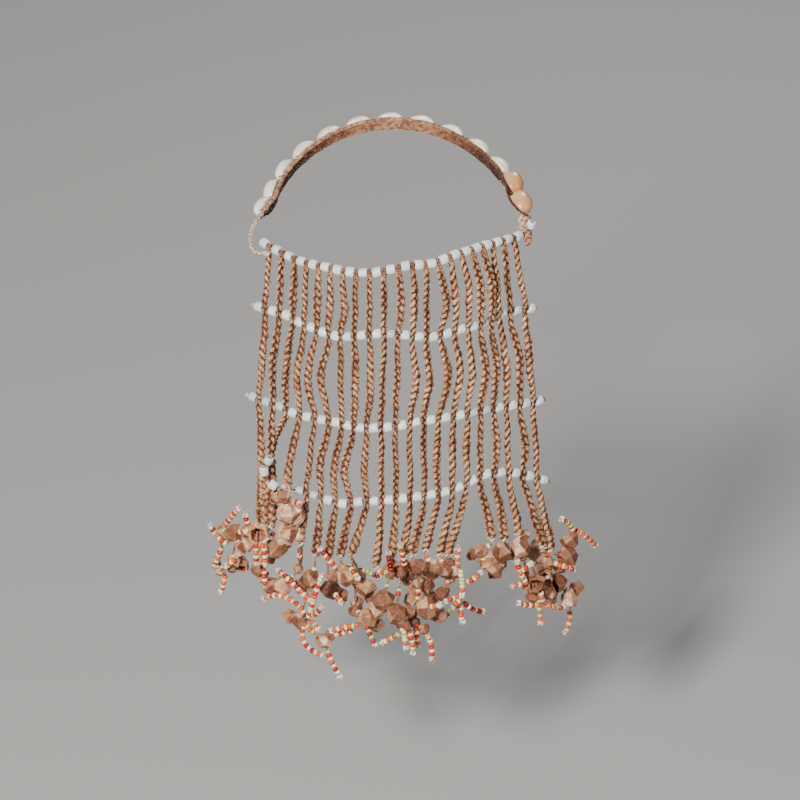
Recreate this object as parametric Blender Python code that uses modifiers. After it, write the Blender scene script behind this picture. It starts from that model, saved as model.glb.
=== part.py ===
"""A beaded and corded modesty apron, modelled as it hangs when it is worn.

A flat waistband with cowries goes round the sides and the back. An openwork panel of plaited cords
and rows of large white beads hangs in front. Tassels of nut shells and short beaded strands end it.

Metres, +Z up, the front faces -Y. The origin is the middle of the waist.
"""

import math
import random
from collections import namedtuple

import bmesh
import bpy
from mathutils import Matrix, Vector

MM = 0.001
WELD = 0.00001

# Sizes of the pieces, in millimetres
BEADS_IN_ROW = 22
CORDS = 21
BEAD_LENGTH = 7.4
BEAD_RADIUS = 4.2
BEAD_ROUND = 0.9
THREAD_RADIUS = 0.7
THREAD_STEP = 0.3
THREAD_KNOT_RADIUS = 1.9
KNOT_TIP_RADIUS = 0.5
KNOT_SHARE = 0.45
CORD_RADIUS = 3.0
CORD_PINCH_RADIUS = 2.0
LEAN_ALLOWED = 0.14
CORD_KNOT_RADIUS = 3.3
CORD_KNOT_HEIGHT = 3.0
CORD_TIP_RADIUS = 1.8
CORD_TOP_RADIUS = 1.6
CORD_TOP_RISE = 3.6
CORD_TOP_BACK = 2.2
CORD_BULGE = 1.0
CORD_STRAIGHT = 1.2
CORD_END_PROUD = 3.0
CORDS_FREE_OF_LAST_ROW = 4
PINCH_REACH = 5.2
GAP = 0.35

BAND_HALF_WIDTH = 103.5
BAND_HALF_DEPTH = 97.0
BAND_HEIGHT = 11.5
BAND_THICKNESS = 2.4
BAND_START_DEGREES = -97.0
BAND_END_DEGREES = 99.0
BAND_STATIONS = 36
BAND_SIDE_LEVEL = 5.5
BAND_LEAN = 1.0
BAND_BACK_RISE = 35.0
BAND_RISE_POWER = 1.6
BAND_FLARE = 14.0
BAND_FLARE_FROM = 80.0
BAND_TAPER = 16.0
BAND_END_HEIGHT = 4.0

COWRIES = 13
COWRIE_LENGTH = 24.5
COWRIE_WIDTH = 16.5
COWRIE_DOME = 9.4
COWRIE_BASE = 0.9
COWRIE_EGG = 0.12
COWRIE_BEND_ROOM = 0.2
COWRIE_FIRST = 12.5
COWRIE_SEGMENTS = 8
COWRIE_RINGS = 5
COWRIE_LAST = 24.0

THONG_RADIUS = 1.2
THONG_START = 5.0
THONG_SIDE = (-1.0, 0.35, 0.0)
THONG_DROP = 5.2
THONG_BENDS = ((-121.5, -25.0, -1.0), (-122.5, -36.0, -6.0), (-119.0, -46.0, -11.5))
TIE_RADIUS = 1.5
TIE_GAP = 1.25
TIE_KNOT = (
    ((116.2, -26.0, 2.2), 1.5),
    ((115.4, -33.0, 1.2), 1.7),
    ((114.6, -38.5, 0.3), 3.0),
    ((114.4, -43.0, 0.3), 3.6),
    ((114.0, -47.0, -1.5), 2.4),
    ((114.6, -49.0, -6.5), 0.8),
)
TIE_BEAD = (
    ((114.8, -33.5, 0.0), 0.7),
    ((115.9, -34.2, 5.0), 0.7),
    ((116.0, -34.3, 5.2), 2.7),
    ((116.9, -34.8, 8.0), 3.3),
    ((117.8, -35.1, 10.8), 2.7),
    ((117.9, -35.1, 11.0), 0.9),
    ((120.6, -33.5, 13.2), 0.6),
)

NUT_SIDES = 5
NUT_UNEVEN = 0.1
NUT_PROFILE = ((0.0, -0.9), (0.85, -0.4), (0.95, 0.4), (0.68, 0.65), (0.0, 0.05))
NUT_SEED_STEP = 100
HEAD_RADIUS = 2.4
HEAD_HEIGHT = 4.5
HEAD_STEM_SHARE = 0.7
STEM_RADIUS = 1.1
STRAND_SHARES = (0.0, 0.5, 1.0)
STRAND_TAPER_FROM = 0.9
STRAND_RADIUS = 2.6
STRAND_TIP_RADIUS = 0.9
HEM_LEVEL = -218.0
HEM_FRONT = -114.0
HEM_CURVE = 0.00256
VIEW_DEGREES = 28.0

# Plan of each row: y = front + curve * (x - middle) squared. Level is the height of the row.
Row = namedtuple("Row", "front curve middle level left_knot right_knot")
ROWS = (
    Row(-107.0, 0.00507, -4.0, 0.0, 2.0, 2.0),
    Row(-110.0, 0.00400, -4.0, -61.0, 7.0, 6.0),
    Row(-112.0, 0.00330, -2.0, -144.7, 6.5, 7.0),
    Row(-113.0, 0.00270, 0.0, -216.3, 3.0, 7.5),
)

# Where chosen beads of each row lie: across from the middle, above the row's level, out of the panel
Station = namedtuple("Station", "row bead across rise proud")
STATIONS = (
    Station(1, 1, -110.0, -2.4, 0.0),
    Station(1, 4, -78.5, -4.9, 0.0),
    Station(1, 6, -58.0, -3.5, 0.0),
    Station(1, 8, -37.0, -3.6, 0.0),
    Station(1, 10, -14.5, -1.2, 0.0),
    Station(1, 12, 9.5, 4.4, 0.0),
    Station(1, 14, 31.5, 4.0, 0.0),
    Station(1, 16, 51.5, 7.6, 0.0),
    Station(1, 19, 78.5, 7.4, 0.0),
    Station(1, 22, 105.5, 2.8, 0.0),
    Station(2, 1, -115.0, 3.3, 0.0),
    Station(2, 3, -91.0, 5.0, 0.0),
    Station(2, 4, -80.5, 1.9, 0.0),
    Station(2, 7, -49.5, -3.5, 0.0),
    Station(2, 8, -39.5, -2.4, 0.0),
    Station(2, 10, -14.5, 2.7, 0.0),
    Station(2, 12, 9.0, 1.3, 0.0),
    Station(2, 14, 33.0, -2.7, 0.0),
    Station(2, 16, 56.5, -0.2, 0.0),
    Station(2, 18, 76.5, -0.3, 0.0),
    Station(2, 20, 91.5, 3.5, 0.0),
    Station(2, 21, 104.5, 1.0, 0.0),
    Station(2, 22, 116.5, -2.6, 0.0),
    Station(3, 1, -121.0, 2.0, 0.0),
    Station(3, 3, -97.5, 1.6, 0.0),
    Station(3, 4, -86.5, -1.1, 0.0),
    Station(3, 7, -49.5, -1.5, 0.0),
    Station(3, 9, -29.0, -4.1, 0.0),
    Station(3, 12, 7.0, -0.5, 0.0),
    Station(3, 13, 18.5, 2.1, 0.0),
    Station(3, 16, 56.0, 3.6, 0.0),
    Station(3, 19, 89.5, 1.8, 0.0),
    Station(3, 22, 124.0, -4.3, 0.0),
    Station(4, 1, -103.5, 26.6, 9.0),
    Station(4, 2, -107.5, 14.6, 9.0),
    Station(4, 3, -100.5, 2.4, 8.0),
    Station(4, 5, -81.0, -1.7, 0.0),
    Station(4, 8, -44.0, -7.7, 0.0),
    Station(4, 9, -30.5, -4.5, 0.0),
    Station(4, 10, -17.0, -2.7, 0.0),
    Station(4, 12, 7.5, 0.4, 0.0),
    Station(4, 15, 43.5, 4.1, 0.0),
    Station(4, 16, 55.5, 7.0, 0.0),
    Station(4, 18, 79.0, 15.0, 0.0),
    Station(4, 20, 104.0, 9.5, 0.0),
    Station(4, 22, 128.5, -5.6, 0.0),
)

# How far each cord's slack carries it to the right between the rows, and where it ends at the hem
Cord = namedtuple("Cord", "slack_1 slack_2 slack_3 end_across end_drop end_proud")
CORD_TABLE = (
    Cord(1.0, 2.5, 0.0, -114.5, 41.0, -4.5),
    Cord(1.0, -1.5, 0.0, -107.0, 42.0, -4.5),
    Cord(2.0, -1.5, 0.0, -106.0, 40.0, -16.5),
    Cord(1.0, -3.0, -2.0, -91.5, -6.0, 7.0),
    Cord(1.5, -6.0, -1.0, -81.0, 49.0, 0.0),
    Cord(1.5, -6.0, -3.0, -68.0, 58.0, 0.0),
    Cord(3.5, -1.0, -3.0, -57.0, 57.0, 0.0),
    Cord(1.0, 2.0, -6.0, -46.5, 55.0, 0.0),
    Cord(0.0, 2.5, -1.5, -36.5, 53.0, 0.0),
    Cord(1.0, 0.0, -1.0, -15.5, 63.0, 0.0),
    Cord(2.5, -1.0, -1.0, -1.5, 52.0, 0.0),
    Cord(1.5, 4.0, 1.0, 8.5, 49.0, 0.0),
    Cord(-1.0, 3.0, -1.0, 15.5, 51.0, 2.0),
    Cord(5.0, 7.0, -2.5, 27.0, 47.0, 0.0),
    Cord(1.5, 4.5, -1.5, 39.5, 53.0, 0.0),
    Cord(2.5, 3.0, -1.5, 47.0, 54.0, 0.0),
    Cord(2.0, 3.5, -1.0, 84.0, 45.0, 0.0),
    Cord(3.0, 2.5, 2.0, 95.5, 49.0, 0.0),
    Cord(0.5, 2.0, 0.0, 107.5, 49.0, 0.0),
    Cord(0.5, 3.0, 2.0, 129.0, 67.0, 0.0),
    Cord(-0.5, -2.0, 1.0, 136.0, 73.0, 0.0),
)
BUNCHED = (1, 2, 3)
BUNCH_RISES = (30.0, 8.0, -14.0)

# Nut shells, placed as the hem shows from above the front: across, below and out of the panel, with
# the side their mouth faces
Nut = namedtuple("Nut", "tassel across below out width mouth_right mouth_down mouth_front")
NUTS = (
    Nut(1, -117.5, 27.0, 12.0, 19.0, 0.0, 0.0, 1.0),
    Nut(1, -128.0, 26.0, 10.0, 10.0, -1.0, 1.0, 1.0),
    Nut(1, -139.0, 28.0, 10.0, 14.5, 2.0, 0.0, 1.0),
    Nut(1, -150.0, 24.0, 5.0, 8.0, -1.0, -1.0, 0.0),
    Nut(1, -134.0, 43.0, 14.0, 13.5, 1.0, -1.0, 1.0),
    Nut(1, -133.5, 55.0, 2.0, 14.5, 0.0, 1.0, 2.0),
    Nut(1, -139.0, 52.0, 14.0, 11.5, -1.0, 1.0, 0.0),
    Nut(1, -151.0, 61.0, 6.0, 10.0, 0.0, 1.0, 0.0),
    Nut(2, -102.0, 41.0, 2.0, 17.0, -1.0, 2.0, 0.0),
    Nut(2, -108.0, 49.0, -4.0, 13.5, 0.0, 1.0, 1.0),
    Nut(2, -118.5, 60.0, 4.0, 11.5, -1.0, 2.0, 1.0),
    Nut(3, -94.0, -5.0, 19.0, 13.5, 0.0, -2.0, 1.0),
    Nut(3, -93.0, 10.0, 18.0, 17.0, 1.0, 0.0, 2.0),
    Nut(3, -93.0, 25.0, 14.0, 16.0, 0.0, 3.0, 1.0),
    Nut(4, -83.0, 59.0, -6.0, 9.0, -1.0, 1.0, 1.0),
    Nut(4, -96.0, 73.0, 10.0, 17.0, 2.0, 0.0, 1.0),
    Nut(5, -72.0, 68.0, 12.0, 17.0, 1.0, 2.0, 1.0),
    Nut(5, -82.0, 102.0, 28.0, 14.5, 0.0, 1.0, -1.0),
    Nut(5, -62.0, 121.0, 34.0, 13.5, 1.0, 1.0, 0.0),
    Nut(6, -55.0, 78.0, -4.0, 16.0, 0.0, 1.0, 2.0),
    Nut(7, -40.0, 64.0, 18.0, 17.0, 1.0, 2.0, 1.0),
    Nut(7, -50.0, 64.0, 14.0, 12.5, 0.0, 1.0, 3.0),
    Nut(7, -24.0, 74.0, 16.0, 14.5, -1.0, 2.0, 0.0),
    Nut(8, -33.0, 95.0, 8.0, 11.5, 0.0, 2.0, -1.0),
    Nut(8, -23.0, 101.0, 24.0, 16.0, 2.0, 1.0, 0.0),
    Nut(9, -4.0, 63.0, 10.0, 10.0, 1.0, 1.0, 3.0),
    Nut(9, -9.5, 84.0, 30.0, 17.0, 0.0, 2.0, -1.0),
    Nut(10, 5.0, 61.0, 2.0, 12.5, 0.0, 2.0, 1.0),
    Nut(10, 2.0, 96.0, 40.0, 17.0, -1.0, 2.0, 0.0),
    Nut(10, 8.0, 107.0, 44.0, 12.5, 1.0, 2.0, 0.0),
    Nut(11, 14.0, 63.0, -6.0, 11.5, 0.0, 1.0, 1.0),
    Nut(11, 15.0, 86.0, 6.0, 11.5, -1.0, 1.0, 2.0),
    Nut(12, 21.0, 57.0, 12.0, 14.5, 2.0, 2.0, 1.0),
    Nut(12, 18.0, 105.0, 28.0, 10.0, 0.0, 1.0, 2.0),
    Nut(12, 26.0, 111.0, 36.0, 9.0, 1.0, 2.0, 0.0),
    Nut(13, 34.0, 56.5, 9.0, 12.5, 0.0, 2.0, -1.0),
    Nut(13, 29.0, 74.0, 4.0, 12.5, 0.0, 1.0, 2.0),
    Nut(13, 28.0, 91.0, 34.0, 19.0, 2.0, 0.0, 1.0),
    Nut(14, 43.0, 60.0, 18.0, 12.5, 0.0, 2.0, -1.0),
    Nut(14, 51.0, 60.0, 14.0, 11.5, 0.0, 2.0, 1.0),
    Nut(14, 41.0, 80.0, 6.0, 12.5, 1.0, 1.0, 1.0),
    Nut(15, 75.0, 44.0, 3.0, 12.5, -1.0, 2.0, 0.0),
    Nut(15, 79.0, 55.0, 8.0, 11.5, -1.0, 0.0, 2.0),
    Nut(15, 86.0, 60.0, 12.0, 14.5, -2.0, 1.0, 1.0),
    Nut(16, 91.5, 44.0, 13.0, 17.0, 0.0, 2.0, 1.0),
    Nut(16, 100.0, 47.0, 6.0, 9.0, 1.0, 2.0, 0.0),
    Nut(17, 109.0, 40.0, 10.0, 16.0, 1.0, 2.0, 0.0),
    Nut(17, 112.0, 49.0, 8.0, 8.0, 0.0, 2.0, 1.0),
    Nut(17, 117.0, 74.0, 18.0, 10.0, -1.0, 0.0, 2.0),
    Nut(17, 123.0, 71.0, 24.0, 16.0, 0.0, 0.0, 1.0),
    Nut(17, 120.0, 83.0, 16.0, 11.5, 0.0, 2.0, 0.0),
    Nut(18, 125.5, 44.0, -11.0, 19.0, 1.0, 2.0, 1.0),
    Nut(18, 134.0, 53.5, 4.0, 10.0, 1.0, 1.0, 1.0),
    Nut(18, 132.0, 66.0, 10.0, 13.5, 0.0, 0.0, 1.0),
    Nut(18, 143.0, 73.0, 8.0, 17.0, -1.0, 0.0, 1.0),
    Nut(18, 135.0, 79.0, 16.0, 12.5, 1.0, 0.0, 2.0),
    Nut(18, 153.0, 86.0, 8.0, 17.0, 0.0, 3.0, 0.0),
    Nut(18, 152.0, 50.0, 6.0, 16.0, -2.0, 1.0, 1.0),
    Nut(18, 153.0, 35.0, 8.0, 14.5, -1.0, -1.0, 1.0),
)

# Beaded strands, placed in the same way by their root, middle and tip
Strand = namedtuple("Strand", "tassel root middle tip")
STRANDS = (
    Strand(1, (-148.0, 23.0, 8.0), (-141.0, 14.0, 12.0), (-133.5, 5.5, 14.0)),
    Strand(1, (-125.0, 24.0, 14.0), (-127.5, 17.0, 18.0), (-129.5, 11.0, 20.0)),
    Strand(1, (-145.0, 38.0, 14.0), (-153.0, 32.0, 16.0), (-160.0, 22.0, 16.0)),
    Strand(1, (-150.0, 41.0, 14.0), (-153.0, 49.0, 15.0), (-156.5, 58.0, 14.0)),
    Strand(1, (-147.5, 65.0, 8.0), (-149.0, 73.0, 9.0), (-152.0, 82.0, 8.0)),
    Strand(1, (-138.0, 51.0, 20.0), (-143.0, 55.0, 21.0), (-147.0, 58.0, 20.0)),
    Strand(1, (-119.0, 37.0, 20.0), (-119.5, 47.0, 22.0), (-119.0, 56.0, 20.0)),
    Strand(1, (-114.0, 37.0, 19.0), (-112.0, 47.0, 21.0), (-112.0, 57.0, 20.0)),
    Strand(2, (-113.5, 58.0, 4.0), (-112.5, 69.0, 7.0), (-110.5, 80.0, 6.0)),
    Strand(3, (-87.0, 1.0, 20.0), (-81.5, 2.0, 24.0), (-83.0, 9.0, 26.0)),
    Strand(4, (-82.0, 55.0, -8.0), (-81.5, 46.0, -10.0), (-81.5, 37.0, -10.0)),
    Strand(5, (-72.0, 87.0, 26.0), (-87.0, 72.0, 24.0), (-102.0, 59.0, 20.0)),
    Strand(5, (-77.0, 97.0, 30.0), (-95.0, 83.0, 31.0), (-114.5, 85.5, 28.0)),
    Strand(5, (-74.0, 101.0, 32.0), (-68.0, 80.0, 34.0), (-61.5, 63.0, 28.0)),
    Strand(5, (-71.0, 99.0, 34.0), (-66.0, 96.0, 37.0), (-61.5, 89.0, 38.0)),
    Strand(5, (-77.0, 105.0, 30.0), (-77.5, 123.0, 38.0), (-60.0, 134.0, 44.0)),
    Strand(5, (-71.0, 104.0, 30.0), (-68.0, 108.0, 34.0), (-64.0, 112.0, 38.0)),
    Strand(5, (-58.0, 129.0, 36.0), (-53.0, 141.0, 40.0), (-46.0, 154.0, 42.0)),
    Strand(6, (-52.0, 81.0, 2.0), (-48.0, 85.0, 5.0), (-44.5, 91.0, 6.0)),
    Strand(7, (-50.0, 58.0, 16.0), (-57.5, 49.0, 18.0), (-65.0, 40.0, 18.0)),
    Strand(7, (-38.0, 58.0, 23.0), (-34.0, 62.0, 27.0), (-30.0, 68.0, 28.0)),
    Strand(8, (-31.0, 60.0, -6.0), (-20.0, 63.0, -9.0), (-11.0, 68.0, -8.0)),
    Strand(8, (-30.0, 107.0, 28.0), (-44.0, 109.5, 32.0), (-56.0, 112.5, 32.0)),
    Strand(8, (-36.0, 112.0, 26.0), (-45.0, 114.5, 28.0), (-53.0, 115.5, 28.0)),
    Strand(8, (-24.0, 108.0, 28.0), (-20.0, 117.0, 34.0), (-15.0, 126.0, 36.0)),
    Strand(9, (-2.5, 60.0, 14.0), (-4.0, 52.0, 14.0), (-5.5, 43.0, 13.0)),
    Strand(10, (8.5, 55.0, 9.0), (7.0, 45.0, 14.0), (4.5, 36.5, 15.0)),
    Strand(10, (7.0, 108.0, 46.0), (9.0, 118.0, 49.0), (10.0, 128.0, 50.0)),
    Strand(10, (12.0, 110.0, 43.0), (15.5, 122.0, 46.0), (15.5, 133.0, 48.0)),
    Strand(10, (5.0, 114.0, 40.0), (-4.0, 119.0, 41.0), (-12.0, 123.0, 40.0)),
    Strand(12, (27.0, 113.0, 36.0), (32.0, 125.0, 40.0), (32.0, 139.0, 42.0)),
    Strand(12, (19.0, 109.0, 30.0), (19.5, 117.0, 33.0), (21.0, 127.0, 34.0)),
    Strand(13, (31.0, 91.0, 40.0), (36.0, 90.0, 44.0), (42.0, 89.0, 46.0)),
    Strand(14, (55.5, 56.0, 17.0), (54.5, 48.0, 19.0), (55.0, 39.5, 19.0)),
    Strand(14, (57.0, 59.0, 18.0), (58.5, 71.0, 22.0), (59.0, 84.0, 24.0)),
    Strand(14, (62.0, 70.0, 20.0), (69.0, 67.0, 23.0), (76.0, 60.0, 23.0)),
    Strand(14, (58.0, 82.0, 24.0), (51.0, 84.0, 27.0), (43.0, 88.0, 28.0)),
    Strand(14, (57.0, 85.0, 25.0), (54.0, 88.0, 30.0), (50.0, 94.0, 32.0)),
    Strand(14, (58.0, 88.0, 23.0), (57.5, 97.0, 25.0), (59.5, 106.0, 24.0)),
    Strand(14, (60.0, 88.0, 20.0), (68.0, 94.0, 16.0), (78.0, 97.0, 10.0)),
    Strand(14, (56.0, 88.0, 20.0), (47.0, 97.0, 17.0), (38.0, 105.0, 14.0)),
    Strand(17, (115.0, 72.0, 26.0), (109.0, 62.0, 27.0), (105.5, 50.0, 24.0)),
    Strand(17, (110.0, 61.0, 27.0), (115.0, 57.0, 29.0), (120.0, 54.0, 28.0)),
    Strand(17, (113.0, 72.0, 22.0), (107.0, 73.0, 22.0), (100.5, 75.0, 20.0)),
    Strand(17, (124.0, 91.0, 20.0), (115.0, 91.0, 22.0), (106.5, 89.0, 22.0)),
    Strand(17, (125.0, 86.0, 20.0), (126.5, 98.0, 24.0), (127.0, 109.0, 24.0)),
    Strand(17, (127.0, 79.0, 28.0), (133.0, 91.0, 30.0), (149.0, 93.0, 29.0)),
    Strand(18, (139.0, 55.0, 10.0), (148.0, 58.0, 17.0), (157.5, 61.0, 17.0)),
    Strand(18, (156.0, 27.0, 10.0), (151.0, 20.0, 14.0), (144.0, 16.0, 16.0)),
    Strand(18, (158.0, 26.0, 10.0), (167.0, 32.0, 13.0), (176.0, 41.0, 12.0)),
    Strand(18, (153.5, 97.0, 10.0), (152.5, 108.0, 14.0), (148.5, 119.0, 16.0)),
)

# The cords that each tassel ends, by number
TASSEL_CORDS = (
    (1, 2), (3,), (4,), (5,), (6,), (7,), (8,), (9,), (10,),
    (11,), (12,), (13,), (14,), (15, 16), (17,), (18,), (19,), (20, 21),
)


def smooth(knots, at):
    """The value at a place on a smooth curve through (place, value) knots, straight past its ends."""
    slopes = []
    for i in range(len(knots)):
        before = knots[max(i - 1, 0)]
        after = knots[min(i + 1, len(knots) - 1)]
        slopes.append((after[1] - before[1]) / (after[0] - before[0]))
    if at <= knots[0][0]:
        return knots[0][1] + slopes[0] * (at - knots[0][0])
    if at >= knots[-1][0]:
        return knots[-1][1] + slopes[-1] * (at - knots[-1][0])
    i = sum(place <= at for place, _ in knots) - 1
    start, low = knots[i]
    end, high = knots[i + 1]
    span = end - start
    t = (at - start) / span
    from_ends = low * (2 * t**3 - 3 * t**2 + 1) + high * (3 * t**2 - 2 * t**3)
    from_slopes = slopes[i] * (t**3 - 2 * t**2 + t) + slopes[i + 1] * (t**3 - t**2)
    return from_ends + from_slopes * span


def outward(row, across):
    """The level direction that points out of the panel at a place on a row."""
    plan = ROWS[row - 1]
    return Vector((2 * plan.curve * (across - plan.middle), -1.0, 0.0)).normalized()


def row_point(row, bead):
    """The middle of a row's thread at a bead's number, or between two beads."""
    plan = ROWS[row - 1]
    stations = [station for station in STATIONS if station.row == row]
    across = smooth([(s.bead, s.across) for s in stations], bead)
    rise = smooth([(s.bead, s.rise) for s in stations], bead)
    proud = smooth([(s.bead, s.proud) for s in stations], bead)
    depth = plan.front + plan.curve * (across - plan.middle) ** 2
    return Vector((across, depth, plan.level + rise)) + outward(row, across) * proud


def hem_point(across, drop, out):
    """A place at the hem: across, down from the lowest row and out of the panel."""
    return Vector((across, HEM_FRONT + HEM_CURVE * across**2 - out, HEM_LEVEL - drop))


def seen_point(place):
    """A place at the hem: across, below the lowest row as it shows from above the front, and out."""
    across, below, out = place
    tilt = math.radians(VIEW_DEGREES)
    forward = out - HEM_CURVE * across**2
    return hem_point(across, (below - forward * math.sin(tilt)) / math.cos(tilt), out)


def held_point(row, cord):
    """Where a cord's middle crosses a row, in the groove in front of two beads.

    Where a row slants by more than LEAN_ALLOWED, its tipped beads narrow the groove.
    """
    thread = row_point(row, cord + 0.5)
    between = row_point(row, cord + 1) - row_point(row, cord)
    lean = max(abs(between.normalized().z) - LEAN_ALLOWED, 0.0)
    half_gap = max((between.length - BEAD_LENGTH) / 2 - BEAD_RADIUS * lean, 0.0)
    reach = CORD_PINCH_RADIUS + GAP
    proud = BEAD_RADIUS - BEAD_ROUND + math.sqrt(max(reach**2 - half_gap**2, 0.0))
    return thread + outward(row, thread.x) * proud


def cord_route(cord):
    """A cord's points from the top row to the hem, each with its radius."""
    facts = CORD_TABLE[cord - 1]
    rows_held = 3 if cord <= CORDS_FREE_OF_LAST_ROW else 4
    up = Vector((0.0, 0.0, 1.0))
    top = held_point(1, cord)
    back = outward(1, top.x) * CORD_TOP_BACK
    route = [(top + up * CORD_TOP_RISE - back, CORD_TOP_RADIUS), (top, CORD_PINCH_RADIUS)]
    low = top - up * PINCH_REACH
    route.append((low, CORD_RADIUS))
    slacks = (facts.slack_1, facts.slack_2, facts.slack_3)
    for row in range(2, rows_held + 1):
        held = held_point(row, cord)
        high = held + up * PINCH_REACH
        if abs(slacks[row - 2]) > CORD_STRAIGHT:
            side = up.cross(outward(row, held.x))
            swing = side * slacks[row - 2] + outward(row, held.x) * CORD_BULGE
            route.append((low.lerp(high, 0.5) + swing, CORD_RADIUS))
        route += [(high, CORD_RADIUS), (held, CORD_PINCH_RADIUS)]
        low = held - up * PINCH_REACH
        route.append((low, CORD_RADIUS))
    end = cord_end(cord)
    knot = end + up * CORD_KNOT_HEIGHT
    if rows_held == 4:
        route.append((low.lerp(knot, 0.5), CORD_RADIUS))
    elif cord in BUNCHED:
        for rise in BUNCH_RISES:
            gathered = hem_point(facts.end_across, -rise, facts.end_proud + CORD_END_PROUD)
            route.append((gathered, CORD_RADIUS))
    else:
        side = up.cross(outward(4, end.x))
        for share in (1 / 3, 2 / 3):
            swing = side * slacks[2] * math.sin(math.pi * share)
            route.append((low.lerp(knot, share) + swing, CORD_RADIUS))
    route += [(knot, CORD_KNOT_RADIUS), (end, CORD_TIP_RADIUS)]
    return route


def cord_end(cord):
    """The lowest point of a cord."""
    facts = CORD_TABLE[cord - 1]
    return hem_point(facts.end_across, facts.end_drop, facts.end_proud + CORD_END_PROUD)


def row_route(row):
    """A row's thread with its beads and end knots as points, each with its radius."""
    plan = ROWS[row - 1]
    half = BEAD_LENGTH / 2
    shape = (
        (-half, THREAD_RADIUS),
        (-half + BEAD_ROUND, BEAD_RADIUS),
        (half - BEAD_ROUND, BEAD_RADIUS),
        (half, THREAD_RADIUS),
    )
    route = []
    for bead in range(1, BEADS_IN_ROW + 1):
        middle = row_point(row, bead)
        along = (row_point(row, bead + THREAD_STEP) - row_point(row, bead - THREAD_STEP)).normalized()
        if bead == 1:
            left = middle - along * half
            route.append((left - along * plan.left_knot, KNOT_TIP_RADIUS))
            route.append((left - along * plan.left_knot * KNOT_SHARE, THREAD_KNOT_RADIUS))
        route += [(middle + along * step, radius) for step, radius in shape]
        if bead == BEADS_IN_ROW:
            right = middle + along * half
            route.append((right + along * plan.right_knot * KNOT_SHARE, THREAD_KNOT_RADIUS))
            route.append((right + along * plan.right_knot, KNOT_TIP_RADIUS))
    return route


def band_point(degrees):
    """The middle of the waistband's wall at an angle from the middle of the back."""
    angle = math.radians(degrees)
    past = (abs(degrees) - BAND_FLARE_FROM) / (BAND_END_DEGREES - BAND_FLARE_FROM)
    ease = min(max(past, 0.0), 1.0) ** 2
    across = BAND_HALF_WIDTH * math.sin(angle) + math.copysign(BAND_FLARE * ease, degrees)
    rise = BAND_BACK_RISE * max(math.cos(angle), 0.0) ** BAND_RISE_POWER
    height = BAND_SIDE_LEVEL - BAND_LEAN * math.sin(angle) + rise
    return Vector((across, BAND_HALF_DEPTH * math.cos(angle), height))


def band_stations():
    """Evenly turned points along the waistband, each with the length from its left end."""
    points = []
    length = 0.0
    for i in range(BAND_STATIONS):
        share = i / (BAND_STATIONS - 1)
        point = band_point(BAND_START_DEGREES + (BAND_END_DEGREES - BAND_START_DEGREES) * share)
        if points:
            length += (point - points[-1][1]).length
        points.append((length, point))
    return points


def band_place(distance):
    """The band's middle at a length from its left end, with the directions along it and out of it."""
    stations = band_stations()
    here = Vector([smooth([(s, p[axis]) for s, p in stations], distance) for axis in range(3)])
    ahead = Vector([smooth([(s, p[axis]) for s, p in stations], distance + 1.0) for axis in range(3)])
    along = (ahead - here).normalized()
    out = Vector((0.0, 0.0, 1.0)).cross(Vector((along.x, along.y, 0.0))).normalized()
    return here, along, out


def new_material(name, colour, roughness):
    """A plain finish for one kind of piece."""
    material = bpy.data.materials.new(name)
    material.use_nodes = True
    shader = material.node_tree.nodes["Principled BSDF"]
    shader.inputs["Base Color"].default_value = (*colour, 1.0)
    shader.inputs["Roughness"].default_value = roughness
    shader.inputs["Metallic"].default_value = 0.0
    return material


def tube(name, route, resolution):
    """A curve object through (point, radius) pairs in millimetres, with closed ends."""
    curve = bpy.data.curves.new(name, "CURVE")
    curve.dimensions = "3D"
    curve.bevel_depth = MM
    curve.bevel_resolution = resolution
    curve.use_fill_caps = True
    spline = curve.splines.new("POLY")
    spline.points.add(len(route) - 1)
    for slot, (point, radius) in zip(spline.points, route):
        slot.co = (*(point * MM), 1.0)
        slot.radius = radius
    piece = bpy.data.objects.new(name, curve)
    bpy.context.scene.collection.objects.link(piece)
    return piece


def as_mesh(piece):
    """A mesh object with the evaluated shape of a curve, its caps welded on."""
    bpy.context.view_layer.update()
    evaluated = piece.evaluated_get(bpy.context.evaluated_depsgraph_get())
    mesh = bpy.data.meshes.new_from_object(evaluated)
    shape = bmesh.new()
    shape.from_mesh(mesh)
    bmesh.ops.remove_doubles(shape, verts=shape.verts, dist=WELD)
    bmesh.ops.recalc_face_normals(shape, faces=shape.faces)
    shape.to_mesh(mesh)
    shape.free()
    solid = bpy.data.objects.new(piece.name + "_solid", mesh)
    solid.matrix_world = piece.matrix_world
    bpy.context.scene.collection.objects.link(solid)
    bpy.data.objects.remove(piece)
    return solid


def mesh_object(name, shape):
    """An object from a finished bmesh, which is freed."""
    mesh = bpy.data.meshes.new(name)
    shape.to_mesh(mesh)
    shape.free()
    piece = bpy.data.objects.new(name, mesh)
    bpy.context.scene.collection.objects.link(piece)
    return piece


def joined(name, solids):
    """One object for overlapping solids, joined by Boolean unions."""
    body = solids[0]
    for other in solids[1:]:
        union = body.modifiers.new("join", "BOOLEAN")
        union.operation = "UNION"
        union.solver = "EXACT"
        union.object = other
    bpy.context.view_layer.update()
    evaluated = body.evaluated_get(bpy.context.evaluated_depsgraph_get())
    mesh = bpy.data.meshes.new_from_object(evaluated)
    for solid in solids:
        bpy.data.objects.remove(solid)
    piece = bpy.data.objects.new(name, mesh)
    bpy.context.scene.collection.objects.link(piece)
    return piece


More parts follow.
